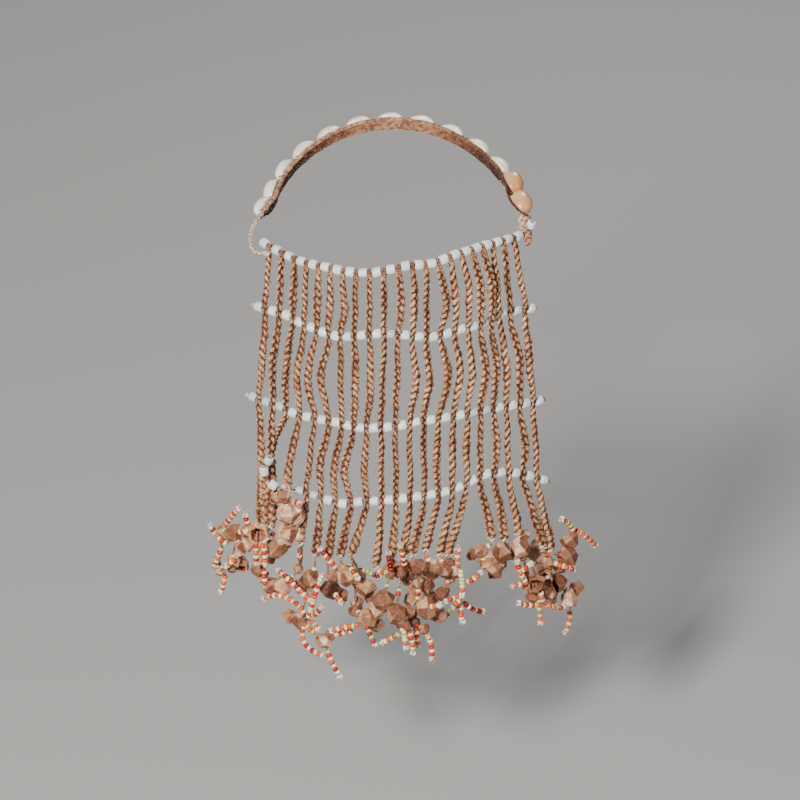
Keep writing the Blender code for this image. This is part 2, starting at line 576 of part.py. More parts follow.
def nut_shell(place, width, mouth, seed):
    """An angular half shell of a nut, turned with few sides and made uneven, with a dished mouth."""
    chance = random.Random(seed)
    shape = bmesh.new()
    half = width / 2
    profile = [shape.verts.new((r * half * MM, 0.0, h * half * MM)) for r, h in NUT_PROFILE]
    edges = [shape.edges.new(pair) for pair in zip(profile, profile[1:])]
    bmesh.ops.spin(
        shape,
        geom=profile + edges,
        axis=(0.0, 0.0, 1.0),
        cent=(0.0, 0.0, 0.0),
        steps=NUT_SIDES,
        angle=math.tau,
        use_merge=True,
    )
    bmesh.ops.remove_doubles(shape, verts=shape.verts, dist=WELD)
    for vert in shape.verts:
        if vert.co.xy.length > WELD:
            vert.co.xy *= 1.0 + chance.uniform(-NUT_UNEVEN, NUT_UNEVEN)
            vert.co.z += chance.uniform(-NUT_UNEVEN, NUT_UNEVEN) * half / 2 * MM
    bmesh.ops.recalc_face_normals(shape, faces=shape.faces)
    turn = Vector((0.0, 0.0, 1.0)).rotation_difference(mouth).to_matrix().to_4x4()
    shape.transform(Matrix.Translation(place * MM) @ turn)
    return mesh_object("nut", shape)


def strand_route(strand):
    """A beaded strand's points from its root to its tip, each with its radius."""
    root = seen_point(strand.root)
    tip = seen_point(strand.tip)
    bend = seen_point(strand.middle) - root.lerp(tip, 0.5)
    route = []
    for share in STRAND_SHARES:
        radius = STRAND_RADIUS if share < STRAND_TAPER_FROM else STRAND_TIP_RADIUS
        route.append((root.lerp(tip, share) + bend * 4 * share * (1 - share), radius))
    return route


def stem(anchors, place):
    """A plain strand to a place from the nearest anchor."""
    nearest = min(anchors, key=lambda anchor: (anchor - place).length)
    return as_mesh(tube("stem", [(nearest, STEM_RADIUS), (place, STEM_RADIUS)], 0))


def tassel(number):
    """A tassel's heads, stems, nut shells and strands, fused into one solid."""
    solids = []
    anchors = []
    for cord in TASSEL_CORDS[number - 1]:
        top = cord_end(cord) - Vector((0.0, 0.0, GAP))
        foot = top - Vector((0.0, 0.0, HEAD_HEIGHT))
        solids.append(as_mesh(tube("head", [(top, CORD_TIP_RADIUS), (foot, HEAD_RADIUS)], 0)))
        middle = top.lerp(foot, HEAD_STEM_SHARE)
        if anchors:
            solids.append(stem(anchors, middle))
        anchors.append(middle)
    for i, nut in enumerate(nut for nut in NUTS if nut.tassel == number):
        place = seen_point((nut.across, nut.below, nut.out))
        mouth = Vector((nut.mouth_right, -nut.mouth_front, -nut.mouth_down)).normalized()
        solids.append(stem(anchors, place))
        solids.append(nut_shell(place, nut.width, mouth, number * NUT_SEED_STEP + i))
        anchors.append(place)
    for strand in (strand for strand in STRANDS if strand.tassel == number):
        route = strand_route(strand)
        solids.append(stem(anchors, route[0][0]))
        solids.append(as_mesh(tube("strand", route, 0)))
        anchors.append(route[-2][0])
    return joined(f"tassel_{number:02d}", solids)


def waistband():
    """The flat strip round the sides and back, with ends that taper."""
    shape = bmesh.new()
    stations = band_stations()
    total = stations[-1][0]
    columns = []
    for distance, point in stations:
        from_end = min(distance, total - distance)
        share = min(from_end / BAND_TAPER, 1.0)
        half = (BAND_END_HEIGHT + (BAND_HEIGHT - BAND_END_HEIGHT) * math.sqrt(share)) / 2
        up = Vector((0.0, 0.0, half))
        columns.append((shape.verts.new((point - up) * MM), shape.verts.new((point + up) * MM)))
    for (low, high), (next_low, next_high) in zip(columns, columns[1:]):
        shape.faces.new((low, next_low, next_high, high))
    piece = mesh_object("waistband", shape)
    wall = piece.modifiers.new("wall", "SOLIDIFY")
    wall.thickness = BAND_THICKNESS * MM
    wall.offset = 0.0
    return piece


def cowrie(number):
    """A cowrie on the outside of the waistband: an egg-shaped dome on a flat underside."""
    total = band_stations()[-1][0]
    step = (total - COWRIE_FIRST - COWRIE_LAST) / (COWRIES - 1)
    place, along, out = band_place(COWRIE_FIRST + step * (number - 1))
    shape = bmesh.new()
    bmesh.ops.create_uvsphere(
        shape,
        u_segments=COWRIE_SEGMENTS,
        v_segments=COWRIE_RINGS,
        radius=1.0,
    )
    for vert in shape.verts:
        x, y, z = vert.co
        vert.co.x = x * COWRIE_LENGTH / 2 * MM
        vert.co.y = y * COWRIE_WIDTH / 2 * (1.0 + COWRIE_EGG * x) * MM
        vert.co.z = z * (COWRIE_DOME if z > 0 else COWRIE_BASE) * MM
    foot = BAND_THICKNESS / 2 + GAP + COWRIE_BASE + COWRIE_BEND_ROOM
    frame = Matrix((along, out.cross(along), out)).transposed().to_4x4()
    shape.transform(Matrix.Translation((place + out * foot) * MM) @ frame)
    piece = mesh_object(f"cowrie_{number:02d}", shape)
    piece.data.shade_smooth()
    return piece


def left_thong():
    """The thin thong from the waistband's left end to the first cord."""
    start, along, _ = band_place(0.0)
    first = held_point(1, 1) - Vector((0.0, 0.0, THONG_DROP))
    end = first + Vector(THONG_SIDE).normalized() * (CORD_RADIUS + GAP)
    route = [(start - along * GAP, THONG_RADIUS), (start - along * THONG_START, THONG_RADIUS)]
    route += [(Vector(point), THONG_RADIUS) for point in THONG_BENDS]
    route.append((end, THONG_RADIUS))
    return tube("left_thong", route, 1)


def right_tie():
    """The knotted tie between the waistband's right end and the top row, with a small bead on it."""
    start, along, _ = band_place(band_stations()[-1][0])
    knot = [(start + along * TIE_GAP, TIE_RADIUS)]
    knot += [(Vector(point), radius) for point, radius in TIE_KNOT]
    bead = [(Vector(point), radius) for point, radius in TIE_BEAD]
    return joined("right_tie", [as_mesh(tube("knot", knot, 1)), as_mesh(tube("bead", bead, 1))])


def build():
    """Every piece of the apron, in one collection."""
    for old in list(bpy.data.objects):
        bpy.data.objects.remove(old)
    hide = new_material("band_hide", (0.42, 0.27, 0.16), 0.85)
    shell = new_material("cowrie_shell", (0.86, 0.80, 0.70), 0.25)
    glass = new_material("white_bead", (0.82, 0.83, 0.83), 0.35)
    fibre = new_material("plaited_fibre", (0.50, 0.31, 0.19), 0.9)
    nut = new_material("nut_shell", (0.62, 0.45, 0.33), 0.7)
    finished = [(waistband(), hide), (left_thong(), fibre), (right_tie(), fibre)]
    finished += [(cowrie(number), shell) for number in range(1, COWRIES + 1)]
    finished += [(tube(f"bead_row_{row}", row_route(row), 1), glass) for row in range(1, len(ROWS) + 1)]
    finished += [(tube(f"cord_{cord:02d}", cord_route(cord), 1), fibre) for cord in range(1, CORDS + 1)]
    finished += [(tassel(number), nut) for number in range(1, len(TASSEL_CORDS) + 1)]
    apron = bpy.data.collections.new("modesty_apron")
    bpy.context.scene.collection.children.link(apron)
    for piece, material in finished:
        piece.data.materials.clear()
        piece.data.materials.append(material)
        bpy.context.scene.collection.objects.unlink(piece)
        apron.objects.link(piece)


build()
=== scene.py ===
# %% [markdown]
# # A beaded and corded modesty apron
#
# This apron hangs in front of its wearer. Plaited cords of plant fibre hang through four rows of
# large white beads, nut shells and short beaded strands end them, and a waistband with cowries
# goes round the back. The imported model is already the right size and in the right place. This
# lesson gives each of its pieces the look of the real one.

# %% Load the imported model
import math
import random
from collections import namedtuple

import bmesh
import bpy
import numpy as np
from mathutils import Matrix, Vector


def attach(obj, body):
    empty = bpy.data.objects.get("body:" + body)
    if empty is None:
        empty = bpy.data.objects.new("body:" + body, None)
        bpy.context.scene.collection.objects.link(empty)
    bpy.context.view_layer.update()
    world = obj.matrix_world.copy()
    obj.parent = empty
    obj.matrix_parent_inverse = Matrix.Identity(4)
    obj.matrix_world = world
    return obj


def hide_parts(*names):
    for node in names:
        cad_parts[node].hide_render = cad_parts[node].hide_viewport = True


MM = 0.001
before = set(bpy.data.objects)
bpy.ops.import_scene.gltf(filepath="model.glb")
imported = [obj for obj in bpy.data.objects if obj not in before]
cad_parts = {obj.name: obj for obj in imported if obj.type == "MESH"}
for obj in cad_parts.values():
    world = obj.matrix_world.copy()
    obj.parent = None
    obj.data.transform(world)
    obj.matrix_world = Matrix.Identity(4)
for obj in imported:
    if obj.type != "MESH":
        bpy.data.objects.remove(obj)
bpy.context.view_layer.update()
print("pieces in the packed model:", len(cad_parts))

# %% [markdown]
# ## The camera
#
# The apron was seen from a little above its front, from far away, so upright lines stay upright. A
# long lens at six metres gives that view. The camera could be aimed with a constraint, but a plain
# turn about X is easier to read and to repeat.

# %% Place the camera
VIEW_TILT = math.radians(28.0)
VIEW_DISTANCE = 6.0
VIEW_LENS = 314.7
VIEW_TARGET = Vector((0.005, -0.080, -0.1376))

camera_data = bpy.data.cameras.new("camera")
camera_data.lens = VIEW_LENS
camera = bpy.data.objects.new("camera", camera_data)
toward_camera = Vector((0.0, -math.cos(VIEW_TILT), math.sin(VIEW_TILT)))
camera.location = VIEW_TARGET + toward_camera * VIEW_DISTANCE
camera.rotation_euler = (math.radians(90.0) - VIEW_TILT, 0.0, 0.0)
bpy.context.scene.collection.objects.link(camera)
bpy.context.scene.camera = camera
print("the camera stands at", tuple(round(value, 3) for value in camera.location))

# %% [markdown]
# ## The studio
#
# The fibre shows its plaits only when light comes from one side, so the main light stands high at
# the left. A weaker one at the right keeps the shaded side readable, and one from behind lights
# the inside of the waistband. The floor is pale and plain, and lies below the tassels, because a
# wearer's waist holds the apron up.

# %% Build the studio
FLOOR_LEVEL = -0.56
FLOOR_HALF = 12.0
FLOOR_COLOUR = (0.36, 0.356, 0.348, 1.0)
FLOOR_ROUGHNESS = 0.9
SKY_COLOUR = (0.88, 0.92, 0.98, 1.0)
SKY_STRENGTH = 0.15

Lamp = namedtuple("Lamp", "name x y z size watts colour")
LAMPS = (
    Lamp("key", -1.05, -2.7, 1.85, 0.5, 222.0, (1.0, 0.97, 0.93)),
    Lamp("fill", 2.4, -1.8, 0.6, 1.6, 16.0, (0.94, 0.96, 1.0)),
    Lamp("back", 0.5, 1.9, 1.5, 1.0, 30.0, (1.0, 0.98, 0.95)),
)

for lamp in LAMPS:
    light = bpy.data.lights.new(lamp.name, "AREA")
    light.size = lamp.size
    light.energy = lamp.watts
    light.color = lamp.colour
    stand = bpy.data.objects.new(lamp.name, light)
    stand.location = (lamp.x, lamp.y, lamp.z)
    stand.rotation_euler = (VIEW_TARGET - stand.location).to_track_quat("-Z", "Y").to_euler()
    bpy.context.scene.collection.objects.link(stand)

world = bpy.data.worlds.new("studio")
world.use_nodes = True
sky = world.node_tree.nodes["Background"]
sky.inputs["Color"].default_value = SKY_COLOUR
sky.inputs["Strength"].default_value = SKY_STRENGTH
bpy.context.scene.world = world

floor_mesh = bpy.data.meshes.new("floor")
floor_corners = [
    (x * FLOOR_HALF, y * FLOOR_HALF, FLOOR_LEVEL) for x, y in ((-1, -1), (1, -1), (1, 1), (-1, 1))
]
floor_mesh.from_pydata(floor_corners, [], [(0, 1, 2, 3)])
floor = bpy.data.objects.new("floor", floor_mesh)
bpy.context.scene.collection.objects.link(floor)
floor_paint = bpy.data.materials.new("floor_paint")
floor_paint.use_nodes = True
floor_shader = floor_paint.node_tree.nodes["Principled BSDF"]
floor_shader.inputs["Base Color"].default_value = FLOOR_COLOUR
floor_shader.inputs["Roughness"].default_value = FLOOR_ROUGHNESS
floor_mesh.materials.append(floor_paint)
print("lights:", len(LAMPS))

# %% [markdown]
# ## The plan of the panel
#
# The beads lie on four curved rows and the cords hang between them. The same short tables that
# gave the solids their places are repeated here, in millimetres, so that each fine piece lies
# exactly where its plain one was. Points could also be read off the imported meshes, but a table
# says what it means.

# %% Sizes that the pieces share
UP = Vector((0.0, 0.0, 1.0))
TURN = math.tau
GAP = 0.35

# The large beads
BEADS_IN_ROW = 22
BEAD_LENGTH = 7.4
BEAD_RADIUS = 4.2
BEAD_ROUND = 0.9

# The cords: where a row pinches them, how their slack bulges and how they end
CORDS = 21
CORDS_FREE_OF_LAST_ROW = 4
CORD_RADIUS = 3.0
CORD_PINCH_RADIUS = 2.0
CORD_BULGE = 1.0
CORD_STRAIGHT = 1.2
CORD_KNOT_RADIUS = 3.3
CORD_KNOT_HEIGHT = 3.0
CORD_TIP_RADIUS = 1.8
CORD_END_PROUD = 3.0
PINCH_REACH = 5.2
LEAN_ALLOWED = 0.14

# The hem curves as the rows do
HEM_LEVEL = -218.0
HEM_FRONT = -114.0
HEM_CURVE = 0.00256

# %% Rows, and where chosen beads of each lie

# Plan of each row: y = front + curve * (x - middle) squared. Level is the height of the row.
Row = namedtuple("Row", "front curve middle level left_knot right_knot")
ROWS = (
    Row(-107, 0.00507, -4, 0, 2, 2),
    Row(-110, 0.00400, -4, -61, 7, 6),
    Row(-112, 0.00330, -2, -144.7, 6.5, 7),
    Row(-113, 0.00270, 0, -216.3, 3, 7.5),
)

# Where chosen beads of each row lie: across, above the row's level and out of the panel
Station = namedtuple("Station", "bead across rise proud")
STATIONS = (
    (
        (1, -110, -2.4, 0), (4, -78.5, -4.9, 0), (6, -58, -3.5, 0), (8, -37, -3.6, 0),
        (10, -14.5, -1.2, 0), (12, 9.5, 4.4, 0), (14, 31.5, 4, 0), (16, 51.5, 7.6, 0),
        (19, 78.5, 7.4, 0), (22, 105.5, 2.8, 0),
    ),
    (
        (1, -115, 3.3, 0), (3, -91, 5, 0), (4, -80.5, 1.9, 0), (7, -49.5, -3.5, 0),
        (8, -39.5, -2.4, 0), (10, -14.5, 2.7, 0), (12, 9, 1.3, 0), (14, 33, -2.7, 0),
        (16, 56.5, -0.2, 0), (18, 76.5, -0.3, 0), (20, 91.5, 3.5, 0), (21, 104.5, 1, 0),
        (22, 116.5, -2.6, 0),
    ),
    (
        (1, -121, 2, 0), (3, -97.5, 1.6, 0), (4, -86.5, -1.1, 0), (7, -49.5, -1.5, 0),
        (9, -29, -4.1, 0), (12, 7, -0.5, 0), (13, 18.5, 2.1, 0), (16, 56, 3.6, 0),
        (19, 89.5, 1.8, 0), (22, 124, -4.3, 0),
    ),
    (
        (1, -103.5, 26.6, 9), (2, -107.5, 14.6, 9), (3, -100.5, 2.4, 8), (5, -81, -1.7, 0),
        (8, -44, -7.7, 0), (9, -30.5, -4.5, 0), (10, -17, -2.7, 0), (12, 7.5, 0.4, 0),
        (15, 43.5, 4.1, 0), (16, 55.5, 7, 0), (18, 79, 15, 0), (20, 104, 9.5, 0),
        (22, 128.5, -5.6, 0),
    ),
)

print("rows:", len(ROWS), "with", BEADS_IN_ROW, "beads each")

# %% Cords, with their slack and where they end

# How far each cord's slack carries it to the right below each row, and where it ends at the hem
Cord = namedtuple("Cord", "slacks end_across end_drop end_proud")
CORD_TABLE = (
    Cord((1, 2.5, 0), -114.5, 41, -4.5), Cord((1, -1.5, 0), -107, 42, -4.5),
    Cord((2, -1.5, 0), -106, 40, -16.5), Cord((1, -3, -2), -91.5, -6, 7),
    Cord((1.5, -6, -1), -81, 49, 0), Cord((1.5, -6, -3), -68, 58, 0),
    Cord((3.5, -1, -3), -57, 57, 0), Cord((1, 2, -6), -46.5, 55, 0),
    Cord((0, 2.5, -1.5), -36.5, 53, 0), Cord((1, 0, -1), -15.5, 63, 0),
    Cord((2.5, -1, -1), -1.5, 52, 0), Cord((1.5, 4, 1), 8.5, 49, 0), Cord((-1, 3, -1), 15.5, 51, 2),
    Cord((5, 7, -2.5), 27, 47, 0), Cord((1.5, 4.5, -1.5), 39.5, 53, 0),
    Cord((2.5, 3, -1.5), 47, 54, 0), Cord((2, 3.5, -1), 84, 45, 0), Cord((3, 2.5, 2), 95.5, 49, 0),
    Cord((0.5, 2, 0), 107.5, 49, 0), Cord((0.5, 3, 2), 129, 67, 0), Cord((-0.5, -2, 1), 136, 73, 0),
)

# The cords that are bunched below their last row, and how high above the hem they are held together
BUNCHED = (1, 2, 3)
BUNCH_RISES = (30.0, 8.0, -14.0)

print("cords:", len(CORD_TABLE))

# %% Curves through the tables
def smooth(knots, at):
    """The value at a place on a smooth curve through (place, value) knots, straight past them."""
    slopes = []
    for i in range(len(knots)):
        before = knots[max(i - 1, 0)]
        after = knots[min(i + 1, len(knots) - 1)]
        slopes.append((after[1] - before[1]) / (after[0] - before[0]))
    if at <= knots[0][0]:
        return knots[0][1] + slopes[0] * (at - knots[0][0])
    if at >= knots[-1][0]:
        return knots[-1][1] + slopes[-1] * (at - knots[-1][0])
    i = sum(place <= at for place, _ in knots) - 1
    start, low = knots[i]
    end, high = knots[i + 1]
    span = end - start
    t = (at - start) / span
    from_ends = low * (2 * t**3 - 3 * t**2 + 1) + high * (3 * t**2 - 2 * t**3)
    from_slopes = slopes[i] * (t**3 - 2 * t**2 + t) + slopes[i + 1] * (t**3 - t**2)
    return from_ends + from_slopes * span


def outward(row, across):
    """The level direction that points out of the panel at a place on a row."""
    plan = ROWS[row - 1]
    return Vector((2 * plan.curve * (across - plan.middle), -1.0, 0.0)).normalized()


def row_point(row, bead):
    """The middle of a row's thread at a bead's number, or between two beads."""
    plan = ROWS[row - 1]
    stations = [Station(*values) for values in STATIONS[row - 1]]
    across = smooth([(s.bead, s.across) for s in stations], bead)
    rise = smooth([(s.bead, s.rise) for s in stations], bead)
    proud = smooth([(s.bead, s.proud) for s in stations], bead)
    depth = plan.front + plan.curve * (across - plan.middle) ** 2
    return Vector((across, depth, plan.level + rise)) + outward(row, across) * proud


def hem_point(across, drop, out):
    """A place at the hem: across, down from the lowest row and out of the panel."""
    return Vector((across, HEM_FRONT + HEM_CURVE * across**2 - out, HEM_LEVEL - drop))


def seen_point(place):
    """A place at the hem: across, below as it shows from above the front, and out."""
    across, below, out = place
    forward = out - HEM_CURVE * across**2
    return hem_point(across, (below - forward * math.sin(VIEW_TILT)) / math.cos(VIEW_TILT), out)


def held_point(row, cord):
    """Where a cord's middle crosses a row, in the groove in front of two beads."""
    thread = row_point(row, cord + 0.5)
    between = row_point(row, cord + 1) - row_point(row, cord)
    lean = max(abs(between.normalized().z) - LEAN_ALLOWED, 0.0)
    half_gap = max((between.length - BEAD_LENGTH) / 2 - BEAD_RADIUS * lean, 0.0)
    reach = CORD_PINCH_RADIUS + GAP
    proud = BEAD_RADIUS - BEAD_ROUND + math.sqrt(max(reach**2 - half_gap**2, 0.0))
    return thread + outward(row, thread.x) * proud


# %% Follow a cord from row to row
def cord_end(cord):
    """The lowest point of a cord."""
    facts = CORD_TABLE[cord - 1]
    return hem_point(facts.end_across, facts.end_drop, facts.end_proud + CORD_END_PROUD)


def free_course(cord, low, knot):
    """A cord's points below its last row, as far as its knot."""
    facts = CORD_TABLE[cord - 1]
    if cord > CORDS_FREE_OF_LAST_ROW:
        return [low.lerp(knot, 0.5)]
    if cord in BUNCHED:
        proud = facts.end_proud + CORD_END_PROUD
        return [hem_point(facts.end_across, -rise, proud) for rise in BUNCH_RISES]
    side = UP.cross(outward(4, cord_end(cord).x))
    slack = facts.slacks[2]
    return [
        low.lerp(knot, share) + side * slack * math.sin(math.pi * share) for share in (1 / 3, 2 / 3)
    ]


def cord_route(cord):
    """A cord's points from the top row to the hem, each with its radius."""
    facts = CORD_TABLE[cord - 1]
    rows_held = 3 if cord <= CORDS_FREE_OF_LAST_ROW else 4
    top = held_point(1, cord)
    low = top - UP * PINCH_REACH
    route = [(top, CORD_PINCH_RADIUS), (low, CORD_RADIUS)]
    for row in range(2, rows_held + 1):
        held = held_point(row, cord)
        high = held + UP * PINCH_REACH
        slack = facts.slacks[row - 2]
        if abs(slack) > CORD_STRAIGHT:
            side = UP.cross(outward(row, held.x))
            swing = side * slack + outward(row, held.x) * CORD_BULGE
            route.append((low.lerp(high, 0.5) + swing, CORD_RADIUS))
        low = held - UP * PINCH_REACH
        route += [(high, CORD_RADIUS), (held, CORD_PINCH_RADIUS), (low, CORD_RADIUS)]
    end = cord_end(cord)
    knot = end + UP * CORD_KNOT_HEIGHT
    route += [(point, CORD_RADIUS) for point in free_course(cord, low, knot)]
    return route + [(knot, CORD_KNOT_RADIUS), (end, CORD_TIP_RADIUS)]


print("points along the first cord:", len(cord_route(1)))

# %% [markdown]
# ## Small tools for node trees
#
# Every finish and every repeated shape below is a tree of nodes. Short helpers keep those trees
# readable: one adds a node and fills its inputs, two do sums with numbers and with vectors, and
# the rest fetch a noise, mix colours or read a place.

# %% Helpers that add nodes
FLOAT = "NodeSocketFloat"
COLOUR = "NodeSocketColor"
GEOMETRY = "NodeSocketGeometry"


def put(tree, kind, inputs=None, **settings):
    """Adds a node, sets its options, then joins or fills its inputs by name or number."""
    node = tree.nodes.new(kind)
    for setting, value in settings.items():
        setattr(node, setting, value)
    for key, value in (inputs or {}).items():
        if isinstance(value, bpy.types.NodeSocket):
            tree.links.new(value, node.inputs[key])
        else:
            node.inputs[key].default_value = value
    return node


def maths(tree, operation, first, second=0.0, clamp=False):
    """The outcome of a sum with two numbers."""
    inputs = {0: first, 1: second}
    return put(tree, "ShaderNodeMath", inputs, operation=operation, use_clamp=clamp).outputs[0]


def vectors(tree, operation, first, second=(0.0, 0.0, 0.0)):
    """The outcome of a sum with two vectors."""
    node = put(tree, "ShaderNodeVectorMath", {0: first, 1: second}, operation=operation)
    return node.outputs["Value" if operation == "LENGTH" else "Vector"]


def stretched(tree, vector, factor):
    """A vector times a number."""
    inputs = {0: vector, "Scale": factor}
    return put(tree, "ShaderNodeVectorMath", inputs, operation="SCALE").outputs["Vector"]


def noise(tree, place, scale, detail, **more):
    """The outputs of a noise: a number, then a colour."""
    inputs = {"Vector": place, "Scale": scale, "Detail": detail, **more}
    return put(tree, "ShaderNodeTexNoise", inputs).outputs


def mixed(tree, factor, first, second, blend="MIX"):
    """A first colour turned into a second one, as far as the factor says."""
    settings = {"data_type": "RGBA", "blend_type": blend}
    return put(tree, "ShaderNodeMix", {0: factor, 6: first, 7: second}, **settings).outputs[2]


def on_mesh(tree, name):
    """A number that is stored on the mesh under a name."""
    return put(tree, "ShaderNodeAttribute", attribute_name=name).outputs["Fac"]


def on_object(tree):
    """The place of each point of the surface, in the object's own frame."""
    return put(tree, "ShaderNodeTexCoord").outputs["Object"]


def new_tree(name, kind, inputs, outputs):
    """A node group with named inputs and outputs, and its two end nodes."""
    tree = bpy.data.node_groups.new(name, kind)
    for label, socket_type, value in inputs:
        socket = tree.interface.new_socket(label, in_out="INPUT", socket_type=socket_type)
        if value is not None:
            socket.default_value = value
    for label, socket_type in outputs:
        tree.interface.new_socket(label, in_out="OUTPUT", socket_type=socket_type)
    return tree, put(tree, "NodeGroupInput").outputs, put(tree, "NodeGroupOutput").inputs


# %% [markdown]
# ## Colours
#
# A colour as a screen shows it isn't the number that light is worked out with. This helper
# turns the first into the second, so the tables of colours can use everyday values from 0 to 255.

# %% Turn everyday colours into linear ones
DARK_END = 0.04045


def paint(red, green, blue):
    """A linear colour from everyday values between 0 and 255."""
    shares = (value / 255.0 for value in (red, green, blue))
    linear = (s / 12.92 if s <= DARK_END else ((s + 0.055) / 1.055) ** 2.4 for s in shares)
    return (*linear, 1.0)


def stops(*rows):
    """Places along a ramp, each with its colour, from (place, red, green, blue) rows."""
    return [(place, paint(*colour)) for place, *colour in rows]


print("mid tan is", tuple(round(value, 3) for value in paint(198, 150, 112)))

# %% [markdown]
# ## Effects that several finishes share
#
# Fibre shows fine streaks that follow each ply, whatever way it turns. Shell, nut and hide have
# blotches of a second colour, and edges that use has worn pale. Each effect is one node group with
# named inputs, made once and placed in every material that needs it.

# %% Streaks along a strand
RUN_DENSITY = 260.0
ROUND_DENSITY = 7.0
PLY_DENSITY = 3.7

streaks, entry, leave = new_tree(
    "streaks_along_a_strand",
    "ShaderNodeTree",
    (("Run density", FLOAT, RUN_DENSITY), ("Round density", FLOAT, ROUND_DENSITY)),
    (("Streak", FLOAT),),
)
streak_place = put(
    streaks,
    "ShaderNodeCombineXYZ",
    {
        "X": maths(streaks, "MULTIPLY", on_mesh(streaks, "run"), entry["Run density"]),
        "Y": maths(streaks, "MULTIPLY", on_mesh(streaks, "around"), entry["Round density"]),
        "Z": maths(streaks, "MULTIPLY", on_mesh(streaks, "ply"), PLY_DENSITY),
    },
).outputs[0]
streaks.links.new(noise(streaks, streak_place, 1.0, 3.0)[0], leave["Streak"])

# %% Blotches of a second colour
BLOTCH_BEGINS = 0.40
BLOTCH_FULL = 0.64

blotches, entry, leave = new_tree(
    "blotches",
    "ShaderNodeTree",
    (
        ("Colour", COLOUR, None),
        ("Second colour", COLOUR, None),
        ("Scale", FLOAT, 100.0),
        ("Amount", FLOAT, 0.5),
        ("Shift", FLOAT, 0.0),
    ),
    (("Colour", COLOUR),),
)
shift = put(blotches, "ShaderNodeCombineXYZ", {"X": entry["Shift"], "Z": entry["Shift"]}).outputs[0]
moved = vectors(blotches, "ADD", on_object(blotches), shift)
cloud = noise(blotches, moved, entry["Scale"], 4.0)[0]
limits = {0: cloud, 1: BLOTCH_BEGINS, 2: BLOTCH_FULL}
mask = put(blotches, "ShaderNodeMapRange", limits, interpolation_type="SMOOTHSTEP").outputs[0]
mask = maths(blotches, "MULTIPLY", mask, entry["Amount"], clamp=True)
colour = mixed(blotches, mask, entry["Colour"], entry["Second colour"])
blotches.links.new(colour, leave["Colour"])

# %% Edges that wear has made pale
CHIP_GAIN = 1.8

worn, entry, leave = new_tree(
    "worn_edges",
    "ShaderNodeTree",
    (
        ("Colour", COLOUR, None),
        ("Worn colour", COLOUR, None),
        ("Edge", FLOAT, 0.0),
        ("Sharpness", FLOAT, 6.0),
        ("Amount", FLOAT, 0.6),
        ("Scale", FLOAT, 400.0),
    ),
    (("Colour", COLOUR),),
)
chips = noise(worn, on_object(worn), entry["Scale"], 3.0)[0]
near = maths(worn, "POWER", entry["Edge"], entry["Sharpness"])
near = maths(worn, "MULTIPLY", near, maths(worn, "MULTIPLY", chips, CHIP_GAIN))
near = maths(worn, "MULTIPLY", near, entry["Amount"], clamp=True)
worn.links.new(mixed(worn, near, entry["Colour"], entry["Worn colour"]), leave["Colour"])

# %% Fine grain for the relief of a surface
GRAIN_ROUGHNESS = 0.6

grain, entry, leave = new_tree(
    "fine_grain", "ShaderNodeTree", (("Scale", FLOAT, 900.0),), (("Height", FLOAT),)
)
height = noise(grain, on_object(grain), entry["Scale"], 5.0, Roughness=GRAIN_ROUGHNESS)[0]
grain.links.new(height, leave["Height"])
print("shared effects:", [tree.name for tree in (streaks, blotches, worn, grain)])

# %% [markdown]
# ## Finishes
#
# A finish starts as a Principled shader with a plain roughness. Colour, small changes in roughness
# and a fine relief are then fed into it. A ramp picks each colour from a number that lies on the
# mesh, such as how proud of its cord a point stands, so a crevice gets painted shade and a proud
# ply gets painted light wherever the piece turns.

# %% Helpers that start a finish
def new_finish(name, roughness, **settings):
    """A material, its node tree and its shader, with plain values set on the shader itself."""
    material = bpy.data.materials.new(name)
    material.use_nodes = True
    shader = material.node_tree.nodes["Principled BSDF"]
    shader.inputs["Roughness"].default_value = roughness
    for label, value in settings.items():
        shader.inputs[label.replace("_", " ").title()].default_value = value
    return material, material.node_tree, shader


def ramp(tree, factor, colours, interpolation="LINEAR"):
    """A colour picked from (place, colour) stops."""
    node = put(tree, "ShaderNodeValToRGB", {0: factor})
    node.color_ramp.interpolation = interpolation
    while len(node.color_ramp.elements) < len(colours):
        node.color_ramp.elements.new(1.0)
    for element, (position, colour) in zip(node.color_ramp.elements, colours):
        element.position = position
        element.color = colour
    return node.outputs["Color"]


def tinted(tree, colour, tint, factor=1.0):
    """A colour multiplied by a tint, as far as the factor says."""
    return mixed(tree, factor, colour, tint, "MULTIPLY")


def streaked(tree, **densities):
    """The streaks along a strand, as a number."""
    inputs = {label.replace("_", " "): value for label, value in densities.items()}
    return put(tree, "ShaderNodeGroup", inputs, node_tree=streaks).outputs["Streak"]


def blotched(tree, colour, second, scale, amount, shift=0.0):
    """A colour with blotches of a second one."""
    inputs = {"Colour": colour, "Second colour": second}
    inputs.update({"Scale": scale, "Amount": amount, "Shift": shift})
    return put(tree, "ShaderNodeGroup", inputs, node_tree=blotches).outputs["Colour"]


def rubbed(tree, colour, worn_colour, edge, sharpness, amount, scale=400.0):
    """A colour that turns into a worn one where a number on the mesh marks an edge."""
    inputs = {"Colour": colour, "Worn colour": worn_colour, "Edge": on_mesh(tree, edge)}
    inputs.update({"Sharpness": sharpness, "Amount": amount, "Scale": scale})
    return put(tree, "ShaderNodeGroup", inputs, node_tree=worn).outputs["Colour"]


def grained(tree, scale):
    """The height of a fine grain."""
    return put(tree, "ShaderNodeGroup", {"Scale": scale}, node_tree=grain).outputs["Height"]


def uneven_gloss(tree, shader, height, amount, least):
    """A roughness that follows a height, joined to the shader."""
    inputs = {0: height, 1: amount, 2: least}
    rough = put(tree, "ShaderNodeMath", inputs, operation="MULTIPLY_ADD").outputs[0]
    tree.links.new(rough, shader.inputs["Roughness"])


